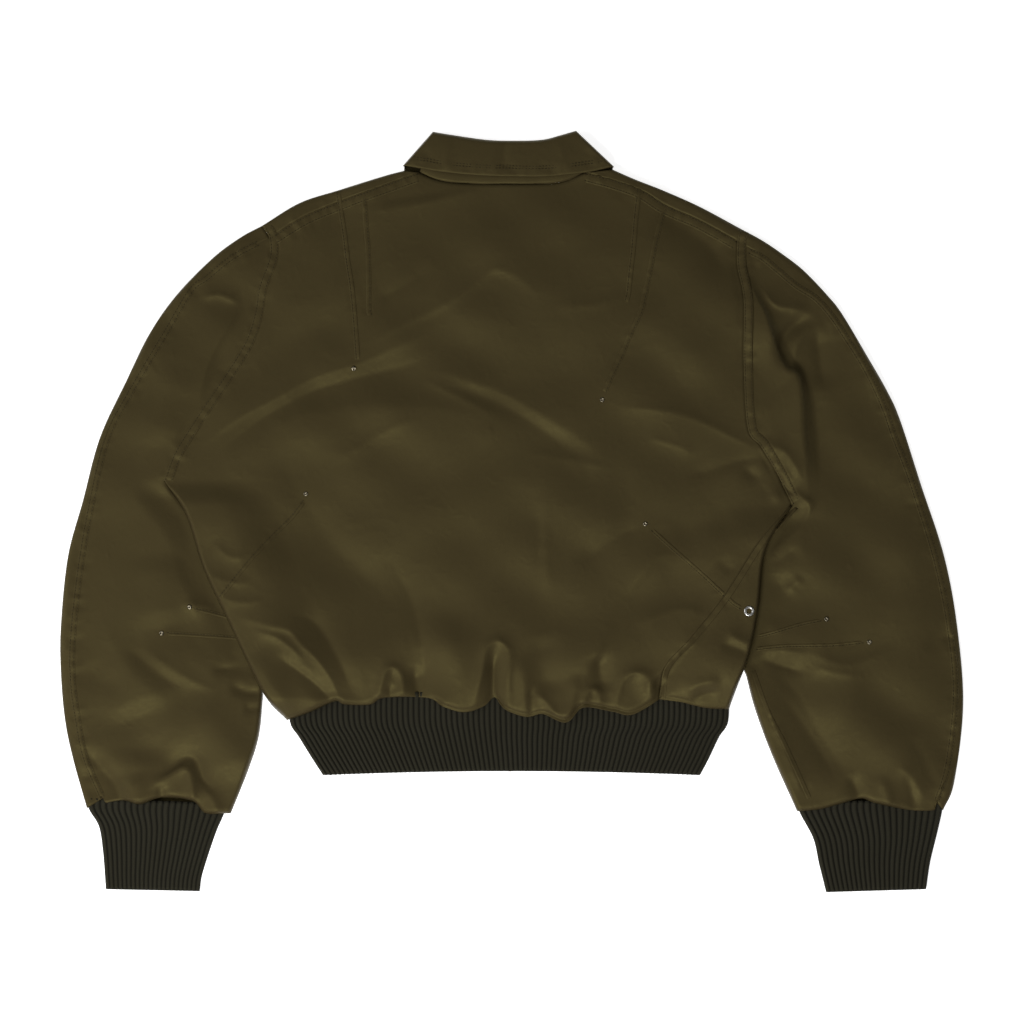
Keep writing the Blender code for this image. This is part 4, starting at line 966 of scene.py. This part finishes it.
class JacketColours(bpy.types.PropertyGroup):
    """Colours of the cloth, the metal and the floor."""
    nylon: FloatVectorProperty(name="Nylon", description="Outer cloth", default=(0.0450, 0.0335, 0.0148),
                               subtype="COLOR", min=0.0, max=1.0)
    rib: FloatVectorProperty(name="Rib", description="Knitted cuffs and hem",
                             default=(0.0215, 0.0198, 0.0115), subtype="COLOR", min=0.0, max=1.0)
    tape: FloatVectorProperty(name="Zip tape", description="Tape and teeth of the zip",
                              default=(0.030, 0.024, 0.013), subtype="COLOR", min=0.0, max=1.0)
    steel: FloatVectorProperty(name="Metal", description="Rivets, eyelet, slider and pull",
                               default=(0.56, 0.55, 0.52), subtype="COLOR", min=0.0, max=1.0)
    rivet: FloatVectorProperty(name="Rivets", description="Worn caps of the rivets",
                               default=(0.24, 0.21, 0.15), subtype="COLOR", min=0.0, max=1.0)
    thread: FloatVectorProperty(name="Thread", description="Topstitching", default=(0.022, 0.017, 0.008),
                                subtype="COLOR", min=0.0, max=1.0)
    floor: FloatVectorProperty(name="Floor", description="Surface that the jacket lies on",
                               default=(0.93, 0.93, 0.93), subtype="COLOR", min=0.0, max=1.0)


_shared = {}


def sizes():
    return bpy.context.scene.jacket_sizes


def colours():
    return bpy.context.scene.jacket_colours


def surface():
    if "surface" not in _shared:
        _shared["surface"] = Surface(sizes().fold_strength, sizes().fold_evenness)
    return _shared["surface"]


# ---------------------------------------------------------------- body

def make_back_panel():
    top = np.vstack([curve(SHOULDER_SEAM_LEFT, 60), curve(NECK_SEAM_BACK, 74)[1:],
                     curve(SHOULDER_SEAM_RIGHT, 60)[1:]])
    left = np.vstack([curve(ARMHOLE_LEFT, 100), curve(SIDE_LEFT, 104)[1:]])
    right = np.vstack([curve(ARMHOLE_RIGHT, 100), curve(SIDE_SEAM_RIGHT, 104)[1:]])
    shares = crowd(len(top), True, False)
    top = read_line(top, shares)
    left = read_line(left, crowd(len(left), False, True) * 0.45 + distances(left) * 0.55)
    right = read_line(right, crowd(len(right), False, True) * 0.45 + distances(right) * 0.55)
    grid = patch(top, curve(HEM_BACK, shares), left, right)
    points = np.dstack([grid, surface().body(grid)])
    mesh = grid_mesh("back_panel_cloth", points)
    piece = add_piece(mesh, "satin_nylon", "back_panel", CLOTH)


def read_line(line, shares):
    run = distances(line)
    return np.column_stack([np.interp(shares, run, line[:, 0]), np.interp(shares, run, line[:, 1])])


def make_side_panel():
    left = curve(SIDE_SEAM_RIGHT, 110)
    right = curve(SIDE_RIGHT, 110)
    top = np.linspace(left[0], right[0] + (0.2, 0), 34)
    shares = crowd(34, False, True)
    grid = patch(top, curve(HEM_SIDE, shares), left, right)
    grid = np.array([read_line(row, shares) if run_length(row)[-1] > 1 else row for row in grid])
    points = np.dstack([grid, surface().body(grid)])
    mesh = grid_mesh("side_panel_cloth", points)
    piece = add_piece(mesh, "satin_nylon", "side_panel_right", CLOTH)


# Rows of the turn over the shoulder, as shares of its depth
SHOULDER_SHARES = (1.0, 0.8, 0.6, 0.42, 0.28, 0.16, 0.07, 0.02, 0.0)


def front_mesh(side):
    """A front on the floor, and its turn over the shoulder as far as the shoulder seam."""
    left = side == "left"
    way = 1 if left else -1
    seam = curve(SHOULDER_SEAM_LEFT if left else SHOULDER_SEAM_RIGHT[::-1], 70)
    edge = curve(SHOULDER_EDGE_LEFT if left else SHOULDER_EDGE_RIGHT[::-1], 70)
    neck = curve(NECK_SEAM_FRONT_LEFT if left else NECK_SEAM_FRONT_RIGHT[::-1], 30)
    inward = seam - edge
    inward /= np.linalg.norm(inward, axis=1)[:, None]
    depth = np.linalg.norm(seam - edge, axis=1)
    rows = []
    for share in SHOULDER_SHARES:
        place = edge + inward * (depth * share)[:, None]
        top = surface().body(place)
        low = lift(place[:, 0], place[:, 1]) + LAID_HEIGHT / 2
        rows.append(np.column_stack([place, low + (top - low) * rounded(depth * share, SHOULDER_ROLL)]))
    for gap in FLOOR_ROLL_STEPS:
        place = edge + inward * gap
        base = lift(place[:, 0], place[:, 1])
        rows.append(np.column_stack([place, base + LAID_HEIGHT / 2 * (1 - rounded(gap, FLOOR_ROLL))]))
    turn = grid_mesh("turn", np.array(rows))
    floor_top = np.vstack([edge + inward * FLOOR_ROLL, neck[1:]])
    zip_edge = ZIP_CENTRE - way * ZIP_SLOT / 2
    hem = surface().hem
    across = np.linspace(hem[0, 0] if left else hem[-1, 0], zip_edge, len(floor_top))
    order = np.argsort(hem[:, 0])
    bottom = np.column_stack([across, np.interp(across, hem[order, 0], hem[order, 1])])
    armhole = curve(ARMHOLE_LEFT if left else ARMHOLE_RIGHT, 50)
    side_line = curve(SIDE_LEFT if left else SIDE_RIGHT, 50)
    outer = np.vstack([floor_top[0], armhole, side_line[1:]])
    inner = np.linspace((zip_edge, neck[-1][1]), bottom[-1], len(outer))
    grid = patch(floor_top, bottom, outer, inner)
    level = lift(grid[..., 0], grid[..., 1])
    floor = grid_mesh("floor", np.dstack([grid, level]), up=False)
    return join_meshes("front_" + side + "_cloth", (turn, floor), weld=2e-5)


def make_front(side):
    piece = add_piece(front_mesh(side), "satin_nylon", "front_" + side, CLOTH)


class JACKET_OT_body(bpy.types.Operator):
    """Make the back, the side panel and the two fronts"""
    bl_idname = "jacket.body"
    bl_label = "Body"

    def execute(self, context):
        make_back_panel()
        make_side_panel()
        for side in ("left", "right"):
            make_front(side)
        return {"FINISHED"}


# ---------------------------------------------------------------- sleeves

SLEEVE_ROWS = 230
BACK_COLUMNS = 64
ARMHOLE_SHARE = 0.44        # of the rows, down to the armpit
# Columns of the front half, from the outer seam over the turn, and across the floor
TURN_SHARES = (1.0, 0.86, 0.72, 0.58, 0.45, 0.34, 0.24, 0.15, 0.08, 0.03, 0.0)
FLOOR_COLUMNS = 16


def sleeve_lines(side):
    """A sleeve's outer edge, inner edge, outer seam and the ways inwards, row by row from head to cuff."""
    shape = SLEEVES[side]
    outer = curve(shape["outer"], SLEEVE_ROWS)
    armhole_rows = int(SLEEVE_ROWS * ARMHOLE_SHARE)
    armhole = curve(ARMHOLE_LEFT if side == "left" else ARMHOLE_RIGHT, armhole_rows)
    below = surface().tucked[side]
    inner = np.vstack([armhole, read_line(below, np.linspace(0, 1, SLEEVE_ROWS - armhole_rows + 1))[1:]])
    ways = normals_of(outer)
    if np.sum((inner.mean(axis=0) - outer) * ways) < 0:
        ways = -ways
    seam = curve(shape["seam"], SLEEVE_ROWS)
    first = inner[0] + (outer[1] - outer[0]) * 0.05
    blend = smooth(np.linspace(0, 1, SLEEVE_ROWS) * 12)[:, None]
    seam = seam * blend + (first + (outer - outer[0])) * (1 - blend)
    return outer, inner, seam, ways


def make_sleeve_back(side, inner, seam):
    """The upper half, from the outer seam to the armhole and the inner edge."""
    shares = crowd(BACK_COLUMNS, False, True)
    head = np.linspace(seam[0], inner[0], BACK_COLUMNS)
    cuff = curve(SLEEVES[side]["cuff"], 400)
    cuff_start = np.argmin(np.linalg.norm(cuff - seam[-1], axis=1))
    low_line = read_line(np.vstack([seam[-1], cuff[cuff_start + 4:]]), shares)
    upper = patch(read_line(head, shares), low_line, seam, inner)
    points = np.dstack([upper, surface().sleeve(upper, side)])
    node = "sleeve_%s_back" % side
    piece = add_piece(grid_mesh(node + "_cloth", points), "satin_nylon", node, CLOTH)


def make_sleeve_front(side, outer, inner, seam, ways):
    """The lower half: from the outer seam over the turn to the floor, and across under the upper half."""
    columns = []
    level = LAID_HEIGHT / 2
    gap = np.maximum(np.linalg.norm(seam - outer, axis=1), 0.01)
    for share in TURN_SHARES:
        place = outer + (seam - outer) * share
        top = surface().sleeve(place, side)
        height = level + (top - level) * rounded(gap * share, SLEEVE_TURN_ROLL)
        columns.append(np.column_stack([place, height]))
    for reach in FLOOR_ROLL_STEPS:
        rise = np.full(SLEEVE_ROWS, level * (1 - float(rounded(reach, FLOOR_ROLL))))
        columns.append(np.column_stack([outer + ways * reach, rise]))
    base = outer + ways * FLOOR_ROLL
    for share in np.linspace(0, 1, FLOOR_COLUMNS)[1:]:
        columns.append(np.column_stack([base * (1 - share) + inner * share, np.zeros(SLEEVE_ROWS)]))
    node = "sleeve_%s_front" % side
    mesh = grid_mesh(node + "_cloth", np.transpose(np.array(columns), (1, 0, 2)))
    piece = add_piece(mesh, "satin_nylon", node, CLOTH)


class JACKET_OT_sleeves(bpy.types.Operator):
    """Make both halves of each sleeve"""
    bl_idname = "jacket.sleeves"
    bl_label = "Sleeves"

    def execute(self, context):
        for side in ("left", "right"):
            outer, inner, seam, ways = sleeve_lines(side)
            make_sleeve_back(side, inner, seam)
            make_sleeve_front(side, outer, inner, seam, ways)
        return {"FINISHED"}


# ---------------------------------------------------------------- ribs

SAMPLES_PER_RIB = 8
CUFF_HEIGHT = LAID_HEIGHT - 0.4
CUFF_RIBS = 22
CUFF_ROWS = 30
HEM_TOP_RING = (-223, 217, -180, -180)      # under the gathers of the body
HEM_WIDTH = 430
HEM_ROWS = 26
HEM_SAG = 4.0               # how much higher the lower edge lies in the middle than at its ends
RIB_SIDE_ROLL = 4.5


def rib_relief(count, ribs):
    """Round ribs with narrow grooves between them, from -1 in a groove to 0 on a rib."""
    phase = np.linspace(0, ribs, count)
    return np.abs(np.sin(math.pi * phase)) ** 0.55 - 1.0


def rib_tube(name, rings, high, ribs, rows, sag=0.0, slot=None):
    """A flattened ribbed tube: its upper and its lower layer, joined by rolls at the two side edges."""
    rings = np.array(rings, float)
    left, along_left = curve(rings[:, (0, 2)], rows).T
    right, along_right = curve(rings[:, (1, 3)], rows).T
    count = ribs * SAMPLES_PER_RIB + 1
    shares = np.linspace(0, 1, count)
    across = left[:, None] + (right - left)[:, None] * shares
    along = along_left[:, None] + (along_right - along_left)[:, None] * shares
    down = np.linspace(0, 1, rows)[:, None]
    along = along + sag * down ** 2 * (1 - (2 * shares - 1) ** 2)
    from_side = np.minimum(across - left[:, None], right[:, None] - across)
    depth = sizes().rib_depth / MM
    relief = rib_relief(count, ribs)[None] * depth
    half = high / 2
    wide = half + relief * 0.9
    edge = rounded(from_side, RIB_SIDE_ROLL)
    end = 1 - 0.22 * smooth((down - 0.93) / 0.07)
    upper = half + wide * edge * end
    lower = half - wide * edge * end
    lower = np.maximum(lower, 0.0)
    top = np.dstack([across, along, upper])
    under = np.dstack([across, along, lower])[:, ::-1]
    if slot:
        keep = (under[0, :, 0] < slot[0]) | (under[0, :, 0] > slot[1])
        cut = np.nonzero(~keep)[0]
        first, last = under[:, cut[-1] + 1:], under[:, :cut[0]]
        ring = np.concatenate([first, top[:, 1:-1], last], axis=1)
        # mask: 1 in a groove and 0 on a rib; the knit's material paints shade into the grooves by it
        mask = np.concatenate([relief[:, cut[-1] + 1:], relief[:, 1:-1], relief[:, :cut[0]]], axis=1)
        mask = np.repeat(mask / depth, rows, axis=0)
        return grid_mesh(name, ring, groove=-mask)
    ring = np.concatenate([top, under[:, 1:]], axis=1)
    # mask: 1 in a groove and 0 on a rib; the knit's material paints shade into the grooves by it
    mask = np.repeat(np.concatenate([relief, relief[:, 1:]], axis=1) / depth, rows, axis=0)
    return grid_mesh(name, ring, ring=True, groove=-mask)


def make_cuff(side):
    rings = CUFF_RINGS[side]
    mesh = rib_tube("cuff_%s_knit" % side, rings, CUFF_HEIGHT, CUFF_RIBS, CUFF_ROWS)
    piece = add_piece(mesh, "ribbed_knit", "cuff_" + side, KNIT)


def make_hem_rib():
    rings = [(left, right, along, along) for left, right, along in HEM_RINGS]
    rings = [HEM_TOP_RING] + rings
    ribs = int(round(HEM_WIDTH / (sizes().rib_pitch / MM)))
    slot = (ZIP_CENTRE - ZIP_SLOT / 2, ZIP_CENTRE + ZIP_SLOT / 2)
    mesh = rib_tube("hem_rib_knit", rings, LAID_HEIGHT, ribs, HEM_ROWS, HEM_SAG, slot)
    piece = add_piece(mesh, "ribbed_knit", "hem_rib", KNIT)


class JACKET_OT_ribs(bpy.types.Operator):
    """Make the two ribbed cuffs and the ribbed hem"""
    bl_idname = "jacket.ribs"
    bl_label = "Ribs"

    def execute(self, context):
        make_cuff("left")
        make_cuff("right")
        make_hem_rib()
        return {"FINISHED"}


# ---------------------------------------------------------------- collar

def side_turn(place, low, high, way):
    """The roll at a side of the collar: up from the floor on its left (way 1), down on its right (-1)."""
    middle = (low + high) / 2
    radius = (high - low) / 2
    turns = [math.radians(angle * way) for angle in (-60, -30, 0, 30, 60)]
    return [(place[0] + way * radius * (1 - math.cos(turn)) * 0.5, place[1], middle + radius * math.sin(turn))
            for turn in turns]


def collar_ring(back, front_left, front_right, low, back_height):
    """One ring of the collar, open at the front: floor, left turn, back, right turn, floor."""
    ring = [(*place, low) for place in front_left[::-1]]
    ring += side_turn(back[0], low, back_height[0], 1)
    ring += [(*place, high) for place, high in zip(back[1:-1], back_height[1:-1])]
    ring += side_turn(back[-1], low, back_height[-1], -1)
    ring += [(*place, low) for place in front_right[::-1]]
    return ring


LEAF_CREASES = (
    # height, points
    (-1.4, ((-6, 378), (-8, 356), (-5, 336))),
    (0.8, ((-60, 374), (-66, 352), (-58, 338))),
    (-0.7, ((-88, 366), (-84, 350), (-90, 340))),
    (0.8, ((44, 374), (50, 356), (46, 338))),
    (-0.8, ((78, 364), (72, 352), (78, 342))),
)
LEAF_FOLD_ROLL = 4.5
LEAF_EDGE_ROLL = 2.6
LEAF_CROWN = 3.0
LEAF_STITCH_ROWS = (8.0, 10.5)


def make_collar():
    columns = 90
    neck = curve(NECK_SEAM_BACK, columns)
    fold = curve(FOLD_BACK, columns)
    neck_left = curve(NECK_SEAM_FRONT_LEFT, 30)[1:]
    neck_right = curve(NECK_SEAM_FRONT_RIGHT, 30)[:-1]
    fold_left = curve(FOLD_FRONT_LEFT, 30)[1:]
    fold_right = curve(FOLD_FRONT_RIGHT, 30)[:-1]
    inside_fold = fold - (0, 2.0)
    high = COLLAR_LIFT + LAID_HEIGHT
    rows = []
    for share in np.linspace(0, 1, 16):
        back = neck * (1 - share) + inside_fold * share
        bulge = 1.2 * math.sin(math.pi * min(1.0, share * 3))
        height = high + bulge + 0.25 * np.sin(back[:, 0] / 6.0) * (1 - share)
        rows.append(collar_ring(back, neck_left * (1 - share) + fold_left * share,
                                neck_right * (1 - share) + fold_right * share, COLLAR_LIFT, height))
    mesh = grid_mesh("collar_stand_cloth", np.array(rows))
    stand = add_piece(mesh, "satin_nylon", "collar_stand", CLOTH)

    edge = curve(LEAF_EDGE_BACK, columns)
    edge_left = curve(LEAF_FRONT_LEFT, 30)[1:]
    edge_right = curve(LEAF_FRONT_RIGHT, 30)[:-1]
    creases = [(points, height, 6.0, 6.0, 1.3) for height, points in LEAF_CREASES]
    creases += puckers(edge + (0, 8.0), 9.0, 0.35, 14.0, 71)
    rows = []
    crown = high + LEAF_CROWN
    middle = crown / 2
    for share in crowd(34, True, True):
        back = fold * (1 - share) + edge * share
        gap = np.linalg.norm(back - fold, axis=1)
        to_edge = np.linalg.norm(back - edge, axis=1)
        height = crown + 0.6 * np.sin(np.pi * share) + fold_height(back, creases)
        height = middle + (height - middle) * rounded(gap, LEAF_FOLD_ROLL)
        height = height - 1.1 * (1 - rounded(to_edge, LEAF_EDGE_ROLL))
        rise = middle * (1 - float(rounded(gap.mean(), LEAF_FOLD_ROLL)))
        ring = collar_ring(back, fold_left * (1 - share) + edge_left * share,
                           fold_right * (1 - share) + edge_right * share, rise, height)
        rows.append(ring)
    mesh = grid_mesh("collar_leaf_cloth", np.array(rows))
    leaf = add_piece(mesh, "satin_nylon", "collar_leaf", LEAF_CLOTH)


class JACKET_OT_collar(bpy.types.Operator):
    """Make the collar's stand and leaf"""
    bl_idname = "jacket.collar"
    bl_label = "Collar"

    def execute(self, context):
        make_collar()
        return {"FINISHED"}


# ---------------------------------------------------------------- seams

def lap_mesh(row):
    """A lap of cloth along a seam, a little proud, with a groove under each row of stitches."""
    where, _, width, rows, height, _ = row
    line = seam_line(row)
    side = normals_of(line)
    half = width / 2
    columns = []
    offsets = np.concatenate([[-half - 0.9], np.linspace(-half, half, 9 if width > 5 else 7), [half + 0.9]])
    for number, off in enumerate(offsets):
        place = line + side * off
        level = surface().height(place, where)
        outer = number in (0, len(offsets) - 1)
        proud = -0.5 if outer else height
        for stitch in rows:
            proud -= 0.35 * math.exp(-((off - stitch) / 0.7) ** 2)
        ends = smooth(np.minimum(np.arange(len(line)), np.arange(len(line))[::-1]) / 3.0)
        columns.append(np.column_stack([place, level + proud * ends - 0.5 * (1 - ends)]))
    return grid_mesh("lap", np.transpose(np.array(columns), (1, 0, 2)))


def add_stitches(bm, line, off, heights, proud):
    """A row of stitches that follows a line at a distance from it."""
    side = normals_of(line)
    path = line + side * off
    run = run_length(path)
    length, gap = sizes().stitch_length / MM, sizes().stitch_gap / MM
    thread = sizes().thread / MM / 2
    at = gap
    while at + length < run[-1]:
        ends = [np.array([np.interp(at + part, run, path[:, k]) for k in (0, 1)]) for part in (0, length)]
        level = [np.interp(at + part, run, heights) + proud for part in (0, length)]
        a = Vector((*ends[0], level[0])) * MM
        b = Vector((*ends[1], level[1])) * MM
        turn = (b - a).to_track_quat("X", "Z").to_matrix().to_4x4()
        size = Matrix.Diagonal(((b - a).length * 0.53, thread * MM, thread * MM * 0.8, 1.0))
        bmesh.ops.create_icosphere(bm, subdivisions=1, radius=1.0,
                                   matrix=Matrix.Translation((a + b) / 2) @ turn @ size)
        at += length + gap


class JACKET_OT_seams(bpy.types.Operator):
    """Make the lapped seams, tucks and darts, and their rows of stitches"""
    bl_idname = "jacket.seams"
    bl_label = "Seams"

    def execute(self, context):
        laps = []
        bm = bmesh.new()
        for row in SEAMS:
            laps.append(lap_mesh(row))
            line = seam_line(row)
            for off in row[3]:
                path = line + normals_of(line) * off
                add_stitches(bm, line, off, surface().height(path, row[0]), row[4] - 0.15)
        for off in LEAF_STITCH_ROWS:
            line = curve(LEAF_EDGE_BACK, 160)[6:-6]
            heights = np.full(len(line), COLLAR_LIFT + LAID_HEIGHT + 3.4)
            add_stitches(bm, line, off, heights, 0.1)
        add_piece(mesh_from(bm, "topstitching"), "sewing_thread")
        add_piece(join_meshes("seam_laps", laps), "satin_nylon", thickness=LAP_CLOTH)
        return {"FINISHED"}


# ---------------------------------------------------------------- metal

def turned(profile, steps):
    """A solid of revolution about Z from (radius, height) pairs in millimetres."""
    bm = bmesh.new()
    verts = [bm.verts.new((r * MM, 0, z * MM)) for r, z in profile]
    edges = [bm.edges.new(pair) for pair in zip(verts, verts[1:])]
    if profile[0][0] > 0 and profile[-1][0] > 0:
        edges.append(bm.edges.new((verts[-1], verts[0])))
    bmesh.ops.spin(bm, geom=verts + edges, cent=(0, 0, 0), axis=(0, 0, 1), angle=math.tau, steps=steps,
                   use_merge=True)
    bmesh.ops.remove_doubles(bm, verts=bm.verts[:], dist=1e-6)
    bmesh.ops.recalc_face_normals(bm, faces=bm.faces[:])
    return bm


def slope_at(place, where):
    """The cloth's normal at a place."""
    reach = 3.0
    spots = np.array([place, place + (reach, 0), place - (reach, 0), place + (0, reach), place - (0, reach)])
    high = surface().height(spots, where)
    return high.max(), (-(high[1] - high[2]) / (2 * reach), -(high[3] - high[4]) / (2 * reach), 1.0)


RIVET_PROFILE = ((0.0, 0.0), (0.5, 0.0), (0.7, 0.3), (0.95, 0.75), (1.4, 0.95), (1.9, 0.8), (2.3, 0.3),
                 (2.4, -0.6), (0.0, -0.6))
EYELET_PROFILE = ((5.3, -0.4), (5.25, 0.35), (4.9, 0.95), (4.2, 1.3), (3.4, 1.25), (2.8, 0.8), (2.45, 0.1),
                  (2.35, -0.8), (3.2, -0.8))


def add_fastener(node, kind, profile, steps, finish_name, where):
    """A turned piece at the middle of its CAD node, on the cloth and square to it."""
    low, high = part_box(node)
    centre = (Vector(low) + Vector(high)) / 2
    level, slope = slope_at(np.array((centre.x, centre.y)) / MM, where)
    bm = turned(profile, steps)
    turn = Vector(slope).to_track_quat("Z", "Y").to_matrix().to_4x4()
    seat = Matrix.Translation((centre.x, centre.y, (level + FASTENER_GAP) * MM))
    bmesh.ops.transform(bm, matrix=seat @ turn, verts=bm.verts[:])
    add_piece(mesh_from(bm, node + kind), finish_name, node)


class JACKET_OT_metal(bpy.types.Operator):
    """Make the rivets at the ends of the darts, and the eyelet of the side panel"""
    bl_idname = "jacket.metal"
    bl_label = "Rivets and eyelet"

    def execute(self, context):
        for node, where in RIVETS:
            add_fastener(node, "_cap", RIVET_PROFILE, 28, "rivet_steel", where)
        add_fastener("eyelet", "_ring", EYELET_PROFILE, 40, "nickel_steel", "body")
        return {"FINISHED"}


# ---------------------------------------------------------------- zip

def node_size(name):
    low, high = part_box(name)
    return np.array(low) / MM, np.array(high) / MM


def make_tape(side):
    name = "zip_tape_" + side
    low, high = node_size(name)
    along = np.linspace(high[1], low[1] + 5.0, 120)
    across = np.linspace(low[0], high[0], 8)
    rise = lift(np.full(len(along), ZIP_CENTRE), along)
    base = CLOTH + 1.5
    grid = np.array([[(x, y, base + up + 0.06 * math.sin(y * 0.7)) for x in across]
                     for y, up in zip(along, rise)])
    mesh = grid_mesh(name + "_cloth", grid, up=False)
    piece = add_piece(mesh, "zip_tape", name, TAPE_CLOTH)


def make_teeth():
    """Teeth of a moulded zip, taken from both tapes in turn."""
    low, high = node_size("zip_teeth")
    pitch = sizes().tooth_pitch / MM
    count = int((high[1] - low[1]) / pitch)
    bm = bmesh.new()
    for k in range(count):
        way = 1 if k % 2 else -1
        along = high[1] - (k + 0.5) * pitch
        rise = float(lift(np.array(ZIP_CENTRE), np.array(along)))
        made = bmesh.ops.create_cube(bm, size=1.0)["verts"]
        bmesh.ops.scale(bm, verts=made, vec=(3.6 * MM, pitch * 0.62 * MM, 1.9 * MM))
        bmesh.ops.translate(bm, verts=made,
                            vec=((ZIP_CENTRE + way * 0.7) * MM, along * MM, (rise + 3.0) * MM))
    bmesh.ops.bevel(bm, geom=bm.edges[:], offset=0.25 * MM, offset_type="OFFSET", segments=1, profile=0.5,
                    affect="EDGES", material=-1)
    add_piece(mesh_from(bm, "zip_teeth_row"), "zip_tape", "zip_teeth")


class JACKET_OT_zip(bpy.types.Operator):
    """Make the zip's tapes and teeth, and finish its slider and pull"""
    bl_idname = "jacket.zip"
    bl_label = "Zip"

    def execute(self, context):
        make_tape("left")
        make_tape("right")
        make_teeth()
        for name in ("zip_slider", "zip_pull"):
            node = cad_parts[name]
            node.data.materials.clear()
            node.data.materials.append(finish("nickel_steel"))
        return {"FINISHED"}


# ---------------------------------------------------------------- stage

LIGHTS = (
    # name, place, size, power
    ("hem_softbox", (-0.6, -1.75, 2.0), (1.3, 0.8), 61.0),
    ("left_softbox", (-2.2, 0.2, 1.3), (0.8, 1.8), 20.0),
    ("right_softbox", (2.2, 0.2, 1.3), (0.8, 1.8), 4.0),
    ("collar_softbox", (0.0, 2.3, 1.3), (2.0, 0.8), 6.0),
)
SKY_STRENGTH = 0.14
FLOOR_REACH = 6.0
FLOOR_GAP = 0.0005
SENSOR = 36.0               # millimetres
CAMERA_HEIGHT = 8.0
FRAME_WIDTH = 1.024         # metres of floor across the picture


class JACKET_OT_stage(bpy.types.Operator):
    """Make the floor, the soft lights and the camera"""
    bl_idname = "jacket.stage"
    bl_label = "Stage"

    def execute(self, context):
        scene = context.scene
        bm = bmesh.new()
        bmesh.ops.create_grid(bm, x_segments=8, y_segments=8, size=FLOOR_REACH)
        mesh = mesh_from(bm, "floor")
        mesh.materials.append(finish("pale_floor"))
        floor = bpy.data.objects.new("floor", mesh)
        mesh.transform(Matrix.Translation((0, 0, -FLOOR_GAP)))
        scene.collection.objects.link(floor)
        for name, place, size, power in LIGHTS:
            light = bpy.data.lights.new(name, "AREA")
            light.shape = "RECTANGLE"
            light.size, light.size_y = size
            light.energy = power
            lamp = bpy.data.objects.new(name, light)
            lamp.location = place
            lamp.rotation_euler = (-Vector(place)).to_track_quat("-Z", "Y").to_euler()
            scene.collection.objects.link(lamp)
        world = bpy.data.worlds.new("studio")
        world.use_nodes = True
        sky = world.node_tree.nodes["Background"]
        sky.inputs["Color"].default_value = (1.0, 1.0, 1.0, 1.0)
        sky.inputs["Strength"].default_value = SKY_STRENGTH
        scene.world = world
        scene.view_settings.view_transform = "Standard"
        lens = bpy.data.cameras.new("camera")
        lens.sensor_width = SENSOR
        lens.lens = SENSOR * CAMERA_HEIGHT / FRAME_WIDTH
        lens.clip_end = 50.0
        camera = bpy.data.objects.new("camera", lens)
        camera.location = (0.0, 0.0, CAMERA_HEIGHT)
        scene.collection.objects.link(camera)
        scene.camera = camera
        return {"FINISHED"}


class JACKET_PT_sidebar(bpy.types.Panel):
    """Lists the jacket's settings and pieces"""
    bl_idname = "JACKET_PT_sidebar"
    bl_label = "Bomber jacket"
    bl_space_type = "VIEW_3D"
    bl_region_type = "UI"
    bl_category = "Jacket"

    def draw(self, context):
        for group in (context.scene.jacket_sizes, context.scene.jacket_colours):
            box = self.layout.box()
            for name in group.__annotations__:
                box.prop(group, name)
        for operator in OPERATORS:
            self.layout.operator(operator.bl_idname)


OPERATORS = (JACKET_OT_stage, JACKET_OT_body, JACKET_OT_sleeves, JACKET_OT_ribs, JACKET_OT_collar,
             JACKET_OT_seams, JACKET_OT_metal, JACKET_OT_zip)
CLASSES = (JacketSizes, JacketColours, *OPERATORS, JACKET_PT_sidebar)


def register():
    for cls in CLASSES:
        bpy.utils.register_class(cls)
    bpy.types.Scene.jacket_sizes = PointerProperty(type=JacketSizes)
    bpy.types.Scene.jacket_colours = PointerProperty(type=JacketColours)


def unregister():
    del bpy.types.Scene.jacket_colours
    del bpy.types.Scene.jacket_sizes
    for cls in reversed(CLASSES):
        bpy.utils.unregister_class(cls)


def main():
    register()
    bpy.ops.jacket.stage()
    bpy.ops.jacket.body()
    bpy.ops.jacket.sleeves()
    bpy.ops.jacket.ribs()
    bpy.ops.jacket.collar()
    bpy.ops.jacket.seams()
    bpy.ops.jacket.metal()
    bpy.ops.jacket.zip()


if __name__ == "__main__":
    main()
